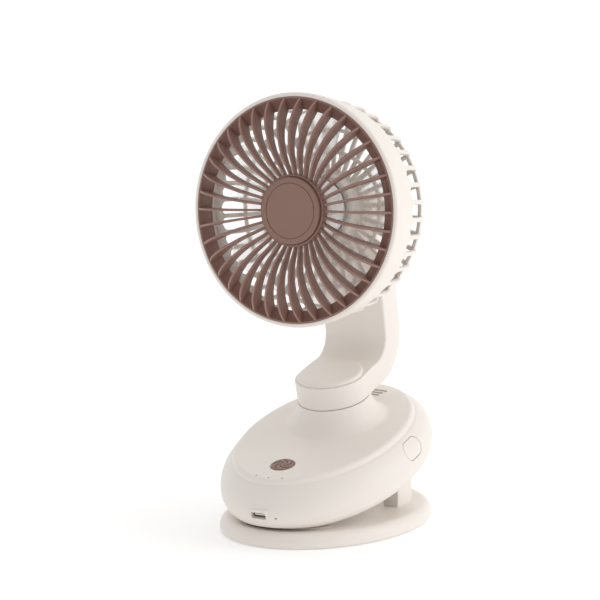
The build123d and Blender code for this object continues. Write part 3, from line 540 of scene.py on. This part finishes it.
class FanFinishes(bpy.types.Operator):
    """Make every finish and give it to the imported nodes."""
    bl_idname = "desk_fan.finishes"
    bl_label = "Finishes"

    def execute(self, context):
        colours = context.scene.desk_fan_colours
        moulded("cream_plastic", tuple(colours.cream), 0.46)
        moulded("brown_plastic", tuple(colours.brown), 0.44, contrast=0.04)
        moulded("badge_plastic", tuple(colours.badge), 0.4, contrast=0.03)
        # the power button's finish has painted shade in its swirl's grooves
        engraved("button_plastic", tuple(colours.badge))
        moulded("black_plastic", (0.03, 0.03, 0.032), 0.5)
        moulded("cell_wrap", (0.12, 0.22, 0.45), 0.3, grain=600.0)
        rubber("rubber_pad", tuple(colours.rubber))
        frosted("blade_plastic", tuple(colours.blade))
        moulded("hub_plastic", tuple(colours.blade), 0.4)
        metal("steel", (0.62, 0.62, 0.63), 0.28, (8, 1, 1))
        metal("ballast_steel", (0.42, 0.41, 0.40), 0.45)
        metal("port_metal", (0.80, 0.78, 0.72), 0.45)
        metal("copper_wire", (0.72, 0.34, 0.18), 0.3, (1, 1, 10))
        metal("magnet", (0.22, 0.22, 0.23), 0.5)
        board("board_green", (0.03, 0.16, 0.07))
        lens("lamp_lens", (0.30, 0.29, 0.26))
        for node in frame["nodes"].values():
            for holder in node.material_slots:
                holder.link = "OBJECT"
                holder.material = bpy.data.materials[FINISH + SLOT_OF[node.name]]
        return {"FINISHED"}


class FanFoot(bpy.types.Operator):
    """Build the foot with its two hinge legs."""
    bl_idname = "desk_fan.foot"
    bl_label = "Foot"

    def execute(self, context):
        """The foot is a stack of ellipses: quarter-circle top edge, small lower edge, hollow underside."""
        low, top, top_edge, low_edge = 0.6, 9.0, 6.0, 1.0
        cover_inset, cover_top, cavity_inset, cavity_top = 4.4, 2.6, 8.5, 6.6
        outer = np.vstack((line((0, top), (0, top), 1), arc((-top_edge, top - top_edge), top_edge, 90, 0, 20),
                           arc((-low_edge, low + low_edge), low_edge, 0, -90, 8)))
        table = [(0, top, 0, 0)]
        table += [(0, top, (FOOT_HALF_X - top_edge) * k, (FOOT_HALF_Y - top_edge) * k)
                  for k in np.linspace(0.08, 0.96, 12)]
        table += [(0, height, FOOT_HALF_X + inset, FOOT_HALF_Y + inset) for inset, height in outer[1:]]
        inner = [(cover_inset, low), (cover_inset, cover_top), (cavity_inset, cover_top),
                 (cavity_inset, cavity_top)]
        table += [(0, height, FOOT_HALF_X - inset, FOOT_HALF_Y - inset) for inset, height in inner]
        table += [(0, cavity_top, 0, 0)]
        foot = add_piece("clip_foot", [surface(ovals(table, 224, in_row))])
        cut(foot, self.legs(top - 3), "UNION")
        finish_piece(foot, "foot", "cream_plastic", ["foot_plate"])
        return {"FINISHED"}

    def legs(self, low):
        """A leg is a side outline, wide at its foot and round at the pin, carried across and edge-rounded."""
        eye, half_width, width, edge, inner_faces = 6.5, 9.3, 10.0, 0.8, (-40, 30)
        shoulder, waist_half, waist = HINGE_Z - 13.0, 8.6, HINGE_Z - 7
        back = [(HINGE_Y + half_width, low), (HINGE_Y + half_width, shoulder)]
        front = [(HINGE_Y - half_width, shoulder), (HINGE_Y - half_width, low)]
        up = smooth([back[1], (HINGE_Y + waist_half, waist), (HINGE_Y + eye, HINGE_Z)], 8)[1:-1]
        down = smooth([(HINGE_Y - eye, HINGE_Z), (HINGE_Y - waist_half, waist), front[0]], 8)[1:-1]
        outline = np.vstack((back, up, arc((HINGE_Y, HINGE_Z), eye, 0, 180, 24), down, front))
        return [prism(outline, [(inset, across + start) for inset, across in rounded_levels(0, width, edge)],
                      in_row_side) for start in inner_faces]


def upper_skin_gap(points):
    """(x / half width)^2 + (y / half length)^2 - 1 at each point's height: positive outside the skin."""
    height = np.clip(points[..., 2], PARTING, SKIN[-1][0])
    dense = smooth(SKIN, 60)
    half_x = np.interp(height, dense[:, 0], dense[:, 1])
    half_y = np.interp(height, dense[:, 0], dense[:, 2])
    return (points[..., 0] / half_x) ** 2 + (points[..., 1] / half_y) ** 2 - 1


def vent_slots(count):
    """Prisms of the vent slots: racetracks side by side, each longer than the one before it and bent
    forwards at both ends along a wide arc."""
    slots = []
    for row in range(count):
        length = VENT_L + row * VENT_GROW
        reach, half = length / 2 - 1, VENT_W / 2
        right, left = np.split(racetrack(length, VENT_W, 8), 2)
        outline = np.vstack((right, line((reach, half), (-reach, half), 14)[1:-1], left,
                             line((-reach, -half), (reach, -half), 14)[1:-1]))
        outline[:, 1] += VENT_Y + row * VENT_STEP - outline[:, 0] ** 2 / (2 * VENT_BEND)
        slots.append(prism(outline, [(0, DECK_TOP - 5), (0, DECK_TOP + 2)], in_jaw))
    return slots


class FanUpperJaw(bpy.types.Operator):
    """Build the two shells of the upper jaw, with their openings."""
    bl_idname = "desk_fan.upper_jaw"
    bl_label = "Upper jaw"

    def execute(self, context):
        """Both shells are stacks of ellipses in the jaw's frame. The top one goes up the skin, through a
        soft crease on to the deck, narrows into the neck's circle, and comes back down one wall inside."""
        skin = [(0, z, a, b) for z, a, b in smooth(SKIN, 36)]
        half_x, half_y = SKIN[-1][1], SKIN[-1][2]
        step = [(0, z, half_x - inset, half_y - inset) for inset, z in smooth(DECK_STEP, 26)[1:]]
        blend = np.linspace(0, 1, 14)[1:-1]
        start, end = np.array(step[-1]), np.array((NECK_Y, DECK_TOP, NECK_FLARE[0][0], NECK_FLARE[0][0]))
        deck = [tuple(start + (end - start) * k) for k in blend]
        neck = [(NECK_Y, z, r, r) for r, z in smooth(NECK_FLARE, 34)]
        bore = [(NECK_Y, z, r, r) for z, r in NECK_BORE]
        inner_deck = [(0, z, a, b) for z, a, b in INNER_DECK]
        inner_skin = [(0, z, a - WALL, b - WALL) for z, a, b in smooth(SKIN, 12)[::-1][1:]]
        table = skin + step + deck + neck + bore + inner_deck + inner_skin
        shell = add_piece("upper_casing", [surface(ovals(table, 288), loop_rows=True)])
        cut(shell, [self.port_rim()], "UNION")
        cut(shell, self.openings() + vent_slots(context.scene.desk_fan_sizes.vents))
        finish_piece(shell, "jaw", "cream_plastic", ["top_shell"])
        self.lower_shell()
        return {"FINISHED"}

    def port_rim(self):
        """Raised flat face round the charging port, with a small rounded edge."""
        side, height, corner, lift = 1.8, 2.6, 1.9, 0.35
        levels = [(0, PORT_FACE - 13), (0, PORT_FACE - 0.4), (0.12, PORT_FACE - 0.15), (0.4, PORT_FACE)]
        return prism(rounded_rectangle(PORT_W + side, PORT_H + height, corner), levels, in_front, (0, lift))

    def openings(self):
        """Prisms of the port, the lamps' holes, the button's well and the side key's hole."""
        through = [(0, PORT_DEPTH), (0, PORT_DEPTH + 30)]
        port = prism(rounded_rectangle(PORT_W, PORT_H, PORT_CORNER), through, in_front)
        charge = prism(ellipse(LAMP_R, LAMP_R, 24), through, in_front, CHARGE_SPOT)
        well_r = BUTTON_R + BUTTON_GAP
        well = prism(ellipse(well_r, well_r, 94),
                     [(0.2, 8), (0.2, DECK_TOP - 0.25), (-0.05, DECK_TOP + 0.06), (-0.05, DECK_TOP + 2)],
                     in_jaw, (0, BUTTON_Y))
        key_hole = prism(racetrack(KEY_L, KEY_W, 24), [(0, -6), (0, 8)], in_key)
        lamps = [prism(ellipse(LAMP_R, LAMP_R, 22), [(0, 9), (0, 17)], in_jaw, spot) for spot in LAMP_SPOTS]
        return [port, charge, well, key_hole] + lamps

    def lower_shell(self):
        """The lower shell is a dish of ellipses, cut level where it meets the lower jaw, with leg slots."""
        skin = [(0, z, a, b) for z, a, b in smooth(LOWER_SKIN, 14)]
        floor = [(0, LOWER_SKIN[0][0], a, b) for a, b in LOWER_FLOOR]
        inside = [(0, z, a - WALL, b - WALL) for z, a, b in smooth(LOWER_SKIN, 6)[::-1][:-1]]
        inside += [(0, LOWER_SKIN[0][0] + WALL, a, b) for a, b in LOWER_INSIDE]
        shell = add_piece("lower_casing", [surface(ovals(floor + skin + inside, 288))])
        slots = [prism(rounded_rectangle(11.0, 26.0, 1.5), [(0, -20), (0, 0)], in_jaw, (x, LEG_SLOT_Y))
                 for x in (-LEG_SLOT_X, LEG_SLOT_X)]
        level = prism(rounded_rectangle(300, 300, 1), [(0, -60), (0, JAW_FACE_Z)], in_row)
        cut(shell, slots + [level])
        finish_piece(shell, "jaw", "cream_plastic", ["bottom_shell"])


def swirl(rho, angle):
    """Depth, 0 to 1, of the engraved swirl: cos(petals (angle - twist rho)) with its crests cut flat,
    faded out near the middle and near the edge."""
    edge, centre, fade = BUTTON_R - BUTTON_EDGE - 0.3, 0.9, 0.5
    inside = np.clip((edge - rho) / fade, 0, 1) * np.clip((rho - centre) / fade, 0, 1)
    wave = np.cos(PETALS * (angle - PETAL_TWIST * rho))
    return inside * np.clip((wave - 0.55) / 0.3, 0, 1)


class FanKeys(bpy.types.Operator):
    """Build the power button with its engraved swirl and the flush side key."""
    bl_idname = "desk_fan.keys"
    bl_label = "Keys"

    def execute(self, context):
        self.power_button()
        self.side_key()
        return {"FINISHED"}

    def power_button(self):
        """A disc of rings of growing radius. Its top drops by the round edge's quarter circle, and by the
        swirl's depth where the swirl is."""
        top, edge, under, columns = DECK_TOP + 0.5, BUTTON_EDGE, DECK_TOP - 2.6, 180
        flat_r = BUTTON_R - edge
        rounding = flat_r + edge * np.sin(np.radians(np.linspace(0, 90, 7)[1:]))
        rho = np.concatenate((np.linspace(0, flat_r, 44), rounding))[:, None]
        angle = np.linspace(0, TURN, columns, endpoint=False)[None, :]
        fall = edge - np.sqrt(np.maximum(0, edge ** 2 - np.maximum(0, rho - flat_r) ** 2))
        height = top - fall - PETAL_DEPTH * swirl(rho, angle)
        ring_r = np.vstack((rho, [[BUTTON_R], [0]]))
        height = np.vstack((height, np.full((2, columns), under)))
        grid = np.stack((ring_r * np.cos(angle), BUTTON_Y + ring_r * np.sin(angle), height), -1)
        button = add_piece("round_button", [surface(in_jaw(grid))])
        self.mark_groove_shade(button)
        finish_piece(button, "power_button", "button_plastic", ["power_button"])

    def mark_groove_shade(self, button):
        """Give each vertex the swirl's depth at its radius and angle about the button's axis, which the
        button's finish turns into painted shade.
        """
        places = np.empty(len(button.data.vertices) * 3, np.float32)
        button.data.vertices.foreach_get("co", places)
        x, y, z = places.reshape(-1, 3).T / MM
        along = y * CT + (z - JAW_HEIGHT) * ST - BUTTON_Y
        depth = swirl(np.hypot(x, along), np.arctan2(along, x))
        attribute = button.data.attributes.new("groove", "FLOAT", "POINT")
        attribute.data.foreach_set("value", depth.astype(np.float32))

    def side_key(self):
        """Nested racetracks in the key's plane. Halving the interval from 6 mm inside to 6 mm outside finds,
        for each point, how far along the plane's normal the jaw's skin lies. The outermost rows drop by a
        small quarter circle, and the last row by the key's depth."""
        gap, edge, depth, search, halvings = 0.3, 0.35, 2.2, 6.0, 40
        bend = np.radians(np.linspace(0, 90, 6)[1:])
        insets = np.concatenate((np.linspace(KEY_W / 2 - 2 * gap, edge, 14), edge * (1 - np.sin(bend))))
        drops = np.concatenate((np.zeros(14), edge * (1 - np.cos(bend))))
        outline = racetrack(KEY_L - 2 * gap, KEY_W - 2 * gap, 32)
        flat = outline - insets[:, None, None] * outward(outline)
        low, high = np.full(flat.shape[:2], -search), np.full(flat.shape[:2], search)
        for _ in range(halvings):
            middle = (low + high) / 2
            outside = upper_skin_gap(key_to_jaw(np.dstack((flat, middle)))) > 0
            high = np.where(outside, middle, high)
            low = np.where(outside, low, middle)
        grid = np.dstack((flat, low - drops[:, None]))
        wall = grid[-1:] - (0, 0, depth)
        key = add_piece("side_key", [capped(in_key(np.concatenate((grid, wall))))])
        finish_piece(key, "side_button", "cream_plastic", ["side_button"])


def slab_front(z):
    """How far back the leaning slab's front face is at a height, in the jaw's frame."""
    return SLAB_FOOT_Y + (z - SLAB_FOOT_Z) * tan(ARM_LEAN)


def slab_rear(z):
    return slab_front(z) + ARM_T / cos(ARM_LEAN)


class FanArm(bpy.types.Operator):
    """Build the arm with its puck, lid and back cover."""
    bl_idname = "desk_fan.arm"
    bl_label = "Arm"

    def execute(self, context):
        """The arm is swept, then its fork and the back cover's window are cut out of it."""
        arm = add_piece("arm_casing", [surface(in_side(self.sweep()))])
        fork_w, fork_depth, corner = 13, 20, 2.5
        fork = prism(rounded_rectangle(60, fork_w, corner), [(0, TILT_Y - 30), (0, TILT_Y + 30)],
                     lambda points: in_side(points[..., [2, 0, 1]]), (TILT_Z - fork_depth + 30, 0))
        cut(arm, [fork, self.panel(0, 3.6, 2.0)])
        finish_piece(arm, "arm", "cream_plastic", ["arm_shell"])
        cover = add_piece("arm_rear_panel", [self.panel(0.18, 2.4, 0.0)])
        finish_piece(cover, "arm", "cream_plastic", ["arm_back_cover"])
        lid_profile = np.vstack(([(0, LID_TOP)], line((2, LID_TOP), (17.2, LID_TOP - 0.1), 5),
                                 arc((LID_R - 2.2, LID_TOP - 2.3), 2.2, 90, 0, 12)[1:],
                                 [(LID_R, PUCK_TOP + 0.3), (LID_R - 0.5, PUCK_TOP + 0.05),
                                  (LID_R - 0.5, PUCK_TOP - 2), (0, PUCK_TOP - 2)]))
        lid = add_piece("puck_cap", [turned(lid_profile, in_neck)])
        finish_piece(lid, "arm", "cream_plastic", ["puck_lid"])
        return {"FINISHED"}

    def sweep(self):
        """One bar along the arm's side view: a half disc over the neck, a low slab, a bend with two radii, a
        leaning slab and a round crown. Each section joins a point of the inner line to one of the outer line,
        and is as wide as the disc's chord there, then as the arm."""
        turn = pi / 2 - ARM_LEAN
        out_centre = np.array((slab_rear(ARM_LOW) - BEND_OUT * tan(turn / 2), ARM_LOW + BEND_OUT))
        in_centre = np.array((slab_front(SLAB_TOP) - BEND_IN * tan(turn / 2), SLAB_TOP + BEND_IN))
        disc = np.linspace(0, pi / 2, 30)
        run_in = np.linspace(NECK_Y, min(out_centre[0], in_centre[0]), 8)[1:]
        flat_y = np.concatenate((NECK_Y - PUCK_R * np.cos(disc), run_in))
        half = PUCK_R + (ARM_HALF - PUCK_R) * np.clip((flat_y - NECK_Y) / 12, 0, 1)
        half[:len(disc)] = PUCK_R * np.sin(disc)
        rise = np.clip((flat_y - NECK_Y + 6) / 24, 0, 1)
        top = PUCK_TOP + (SLAB_TOP - PUCK_TOP) * rise * rise * (3 - 2 * rise)
        bend = np.linspace(0, turn, 40)[1:, None]
        round_bend = np.hstack((np.sin(bend), -np.cos(bend)))
        outer = [np.column_stack((flat_y, np.full(len(flat_y), ARM_LOW))), out_centre + BEND_OUT * round_bend]
        inner = [np.column_stack((flat_y, top)), in_centre + BEND_IN * round_bend]
        up = np.array((sin(ARM_LEAN), cos(ARM_LEAN)))
        back = np.array((cos(ARM_LEAN), -sin(ARM_LEAN)))
        pin = np.array((TILT_Y, TILT_Z))
        outer.append(line(outer[-1][-1], pin + ARM_T / 2 * back, 16)[1:])
        inner.append(line(inner[-1][-1], pin - ARM_T / 2 * back, 16)[1:])
        crown = np.linspace(0, pi / 2, 24)[1:, None]
        outer.append(pin + ARM_T / 2 * (np.cos(crown) * back + np.sin(crown) * up))
        inner.append(pin + ARM_T / 2 * (-np.cos(crown) * back + np.sin(crown) * up))
        outer, inner = np.vstack(outer), np.vstack(inner)
        half = np.concatenate((half, np.full(len(outer) - len(half), ARM_HALF)))
        span = outer - inner
        thickness = np.linalg.norm(span, axis=1)
        across = np.where(thickness[:, None] > 1e-6, span / np.maximum(thickness, 1e-9)[:, None], back)
        past_disc = np.arange(len(outer)) - len(disc) + 1
        edge = np.clip(past_disc / 8, 0.25, 1) * ARM_EDGE
        return swept((outer + inner) / 2, across, 2 * half, thickness, edge, 6)

    def panel(self, gap, depth, proud):
        """Rounded plate set into the slab's rear face, that gap smaller than its window all round."""
        low, high, half_width, corner, rounding = 66.0, 112.0, 15.0, 3.0, 0.25
        outline = rounded_rectangle(2 * (half_width - gap), high - low - 2 * gap, corner)
        centre = (low + high) / 2

        def place(points):
            x, up, out = np.moveaxis(points, -1, 0)
            y = slab_rear(centre) + up * sin(ARM_LEAN) + out * cos(ARM_LEAN)
            z = centre + up * cos(ARM_LEAN) - out * sin(ARM_LEAN)
            return in_jaw(np.stack((x, y, z), -1))

        return prism(outline, [(0, -depth), (0, proud - rounding), (rounding if gap else 0, proud)], place)


class FanHeadCasing(bpy.types.Operator):
    """Build the head's housing, rear basket and motor cup."""
    bl_idname = "desk_fan.head_casing"
    bl_label = "Head casing"

    def execute(self, context):
        """The housing and the motor cup are turned. The basket is turned hoops and one rounded bar a rib."""
        sizes = context.scene.desk_fan_sizes
        front = np.vstack(([(65.15, 5.1), (65.15, 0.35)], arc((65.5, 0.35), 0.35, 180, 270, 5),
                           arc((66.1, 1.4), 1.4, 270, 350, 10)))
        outside = smooth([(67.5, 1.6), (67.45, 6), (66.9, 12), (66.2, 18), (65.45, 21.7)], 24)
        inside = [(65.2, 22.0), (63.4, 22.0), (63.6, 7.0), (62.0, 7.0), (62.0, 5.1)]
        casing = add_piece("head_casing", [turned(np.vstack((front, outside, inside)), in_head, 288)])
        finish_piece(casing, "head", "cream_plastic", ["front_housing"])
        hoops = [turned(rounded_rectangle(2.4, 1.9, 0.5, 4) + (radius, HOOP_DEPTH), in_head, 160)
                 for radius in HOOPS]
        hub = [(0, 43.6), (21.6, 43.6), (22.2, 44.1), (22.2, 45.9), (21.6, REAR_FACE), (0, REAR_FACE)]
        ribs = spun(self.rib(TURN / sizes.ribs, sizes.rib_width / MM), sizes.ribs, TURN / sizes.ribs / 2)
        basket = add_piece("rear_basket", [ribs, turned(hub, in_head)] + hoops)
        finish_piece(basket, "head", "cream_plastic", ["rear_grille"])
        cup = np.vstack(([(17.6, 34.0), (17.6, 32.4), (18.0, 32.0)], arc((19.9, 33.5), 1.5, 270, 360, 8),
                         [(21.4, 43.6), (19.4, 43.6), (19.4, 34.0)]))
        motor_cup = add_piece("motor_cup", [turned(cup, in_head)])
        finish_piece(motor_cup, "head", "cream_plastic", ["motor_housing"])
        return {"FINISHED"}

    def rib(self, pitch, width):
        """Rounded bar along the basket's wall and rear face. At each end it widens to the whole pitch along
        a quarter circle, pitch - (pitch - rib) sqrt(1 - (1 - run)^2), so the windows have round ends."""
        solid_rim, solid_hub, hub_round = 6.4, 1.2, 1.2
        wall = line((64.3, 17.0), (64.0, 23.0), 3)[:-1]
        path = np.vstack((wall, smooth([(64.0, 23.0), (63.9, 28.0), (63.5, 36.0), (62.6, 41.2), (60.0, 44.4),
                                        (55.6, 45.2), (48.0, 45.3), (36.0, 45.3), (28.0, 45.3), (21.0, 45.3)],
                                       46)))
        full = path[:, 0] * pitch * 1.01
        rim_round = (path[:, 0].max() * pitch - width) / 2
        run = np.concatenate(([0], np.cumsum(np.linalg.norm(np.diff(path, axis=0), axis=1))))
        from_rim = np.clip((run - solid_rim) / rim_round, 0, 1)
        from_hub = np.clip((run[-1] - solid_hub - run) / hub_round, 0, 1)
        opening = np.sqrt(1 - (1 - np.minimum(from_rim, from_hub)) ** 2)
        rib_width = np.maximum(full - (full - width) * opening, np.minimum(width, full))
        along = np.gradient(path, axis=0)
        along /= np.linalg.norm(along, axis=1)[:, None]
        across = np.column_stack((along[:, 1], -along[:, 0]))
        return capped(head_section(swept(path, across, np.minimum(rib_width, full), 2.3, 0.65, 4)))


class FanGrille(bpy.types.Operator):
    """Build the brown front grille and the disc on its hub."""
    bl_idname = "desk_fan.grille"
    bl_label = "Front grille"

    def execute(self, context):
        """The ring is turned from a profile with a cove. A fin is a row of thin rounded sections, each from a
        point of the front curve to one of the back curve, in a plane through the axis."""
        sizes = context.scene.desk_fan_sizes
        cove = smooth([(RING_IN, 3.7), (59.6, 3.5), (61.6, 2.75), (63.2, 1.4), (64.2, 0.05)], 14)
        lip = arc((RING_OUT - 0.25, 0.25), 0.25, 0, -90, 4)[1:]
        ring = np.vstack(([(RING_OUT, 5.0), (RING_OUT, 0.25)], lip, cove[::-1], [(RING_IN, 5.0)]))
        front, back = smooth(FIN_FRONT, 34), smooth(FIN_BACK, 34)
        across = front - back
        depth = np.linalg.norm(across, axis=1)
        across /= depth[:, None]
        fin = swept((front + back) / 2, across, sizes.fin_thickness / MM, depth, 0.2, 4)
        fins = spun(capped(head_section(fin)), sizes.fins)
        flange = np.vstack(([(0, 0.4), (19.75, 0.4), (19.75, -0.35), (19.9, -0.5)],
                            arc((HUB_R - 0.8, 0.3), 0.8, 270, 360, 6),
                            [(HUB_R, 4.4), (19.6, 4.4), (19.6, 2.4), (0, 2.4)]))
        grille = add_piece("fin_grille", [turned(ring, in_head, 288), fins, turned(flange, in_head)])
        finish_piece(grille, "head", "brown_plastic", ["front_grille"])
        groove = [(15.62, -2.4), (15.72, -2.0), (16.08, -2.0), (16.18, -2.4)]
        disc = np.vstack(([(0, -2.4), (8, -2.4)], groove, arc((18.7, -1.6), 0.8, 270, 360, 8),
                          [(19.5, 0.4), (0, 0.4)]))
        badge = add_piece("hub_disc", [turned(disc, in_head)])
        finish_piece(badge, "head", "badge_plastic", ["grille_badge"])
        return {"FINISHED"}


class FanBlades(bpy.types.Operator):
    """Build the frosted blades and the fan's hub."""
    bl_idname = "desk_fan.blades"
    bl_label = "Blades"

    def execute(self, context):
        """A blade is rows of thin bowed sections from hub to tip. Chord and pitch change with the radius, and
        the chord shortens near the tip along a quarter circle, which rounds both corners."""
        tip, corner, thickness, middle, bow = 57.0, 9.0, 1.5, 22.0, 1.2
        rounding = tip - corner + corner * np.sin(np.radians(np.linspace(0, 90, 16)[1:]))
        radius = np.concatenate((np.linspace(15, tip - corner, 14), rounding))[:, None]
        stations = (15, 28, 42, 61)
        shorter = np.clip((radius - tip + corner) / corner, 0, 1)
        chord = np.interp(radius, stations, (19, 30, 42, 52)) - 2 * corner * (1 - np.sqrt(1 - shorter ** 2))
        pitch = np.radians(np.interp(radius, stations, (48, 38, 31, 25)))
        loop = np.linspace(0, TURN, 40, endpoint=False)[None, :]
        along, out = np.cos(loop), np.sin(loop)
        thinning = np.clip((tip - radius) / 1.2, 0.12, 1)
        u = chord / 2 * along
        v = thickness / 2 * thinning * np.sign(out) * np.abs(out) ** 0.6 + bow * (1 - along ** 2)
        side = u * np.cos(pitch) - v * np.sin(pitch)
        depth = middle + u * np.sin(pitch) + v * np.cos(pitch)
        reach = np.sqrt(np.maximum(radius ** 2 - side ** 2, 1))
        blade = capped(in_head(np.stack((reach, side, depth), -1)))
        cup = np.vstack(([(0, 12.0), (8, 12.0)], arc((14.0, 15.8), 3.8, 270, 360, 12),
                         [(17.8, 30.5), (16.25, 30.5), (16.25, 15.6), (0, 15.6)]))
        fan = add_piece("frosted_fan", [spun(blade, context.scene.desk_fan_sizes.blades, radians(12))])
        finish_piece(fan, "rotor", "blade_plastic", ["fan_blades"])
        hub = add_piece("fan_hub", [turned(cup, in_head)])
        finish_piece(hub, "rotor", "hub_plastic", ["fan_blades"])
        return {"FINISHED"}


class FanStudio(bpy.types.Operator):
    """Set the pale floor, the soft lights and the camera."""
    bl_idname = "desk_fan.studio"
    bl_label = "Studio"

    def execute(self, context):
        scene = context.scene
        self.floor(scene)
        scene.world = self.world()
        self.lamp(scene, "key_light", (1.05, 0.45, 0.55), 0.8, 2.9, (1.0, 0.98, 0.95))
        self.camera(scene)
        scene.view_settings.view_transform = "Standard"
        return {"FINISHED"}

    def floor(self, scene):
        """Pale square floor that glows a little, so that it stays white in the fan's shade."""
        half, glow = 6.0, 0.22
        tree, shader = node_tree("studio_floor")
        vary_colour(tree, shader, noise(tree, 3.0, 2.0), (0.90, 0.90, 0.90), (0.92, 0.92, 0.92))
        shader.inputs["Roughness"].default_value = 0.9
        shader.inputs["Specular IOR Level"].default_value = 0.1
        shader.inputs["Emission Color"].default_value = (1, 1, 1, 1)
        shader.inputs["Emission Strength"].default_value = glow
        mesh = bpy.data.meshes.new("studio_floor")
        corners = [(-half, -half, 0), (half, -half, 0), (half, half, 0), (-half, half, 0)]
        mesh.from_pydata(corners, [], [(0, 1, 2, 3)])
        mesh.materials.append(bpy.data.materials[FINISH + "studio_floor"])
        floor = bpy.data.objects.new("studio_floor", mesh)
        scene.collection.objects.link(floor)

    def world(self):
        """White surroundings, weaker in front of the fan than behind it."""
        world = bpy.data.worlds.new("studio")
        world.use_nodes = True
        nodes, links = world.node_tree.nodes, world.node_tree.links
        place = nodes.new("ShaderNodeTexCoord")
        split = nodes.new("ShaderNodeSeparateXYZ")
        spread = nodes.new("ShaderNodeMapRange")
        spread.inputs["From Min"].default_value = -0.9
        spread.inputs["From Max"].default_value = 0.35
        spread.inputs["To Min"].default_value = 0.57
        spread.inputs["To Max"].default_value = 1.06
        links.new(place.outputs["Generated"], split.inputs["Vector"])
        links.new(split.outputs["Y"], spread.inputs["Value"])
        links.new(spread.outputs["Result"], nodes["Background"].inputs["Strength"])
        nodes["Background"].inputs["Color"].default_value = (1, 1, 1, 1)
        return world

    def lamp(self, scene, name, place, size, power, colour):
        """Square soft light that faces the fan."""
        light = bpy.data.lights.new(name, "AREA")
        light.size = size
        light.energy = power
        light.color = colour
        lamp = bpy.data.objects.new(name, light)
        lamp.location = place
        aim = Vector((0, 0, 0.12)) - lamp.location
        lamp.rotation_euler = aim.to_track_quat("-Z", "Y").to_euler()
        scene.collection.objects.link(lamp)

    def camera(self, scene):
        """Camera in front, to the fan's right-hand side, slightly above, looking a little down."""
        azimuth, dip, lens, place = radians(30.43), radians(5.26), 93.9, (0.459, -0.8146, 0.220)
        camera = bpy.data.objects.new("camera", bpy.data.cameras.new("camera"))
        camera.data.lens = lens
        camera.location = place
        camera.rotation_euler = (pi / 2 - dip, 0, azimuth)
        scene.collection.objects.link(camera)
        scene.camera = camera


class FanPanel(bpy.types.Panel):
    """Buttons that build the fan piece by piece."""
    bl_idname = "DESK_FAN_PT_build"
    bl_label = "Desk Fan"
    bl_space_type = "VIEW_3D"
    bl_region_type = "UI"
    bl_category = "Desk Fan"

    def draw(self, context):
        for group in (context.scene.desk_fan_colours, context.scene.desk_fan_sizes):
            for name in group.__annotations__:
                self.layout.prop(group, name)
        for operator in OPERATORS:
            self.layout.operator(operator.bl_idname)


OPERATORS = (FanStudio, FanFinishes, FanFoot, FanUpperJaw, FanKeys, FanArm, FanHeadCasing, FanGrille,
             FanBlades)
CLASSES = (FanColours, FanSizes) + OPERATORS + (FanPanel,)


def register():
    for item in CLASSES:
        bpy.utils.register_class(item)
    bpy.types.Scene.desk_fan_colours = PointerProperty(type=FanColours)
    bpy.types.Scene.desk_fan_sizes = PointerProperty(type=FanSizes)


def unregister():
    del bpy.types.Scene.desk_fan_sizes
    del bpy.types.Scene.desk_fan_colours
    for item in reversed(CLASSES):
        bpy.utils.unregister_class(item)


def main():
    register()
    bpy.ops.desk_fan.studio()
    bpy.ops.desk_fan.finishes()
    bpy.ops.desk_fan.foot()
    bpy.ops.desk_fan.upper_jaw()
    bpy.ops.desk_fan.keys()
    bpy.ops.desk_fan.arm()
    bpy.ops.desk_fan.head_casing()
    bpy.ops.desk_fan.grille()
    bpy.ops.desk_fan.blades()


if __name__ == "__main__":
    main()
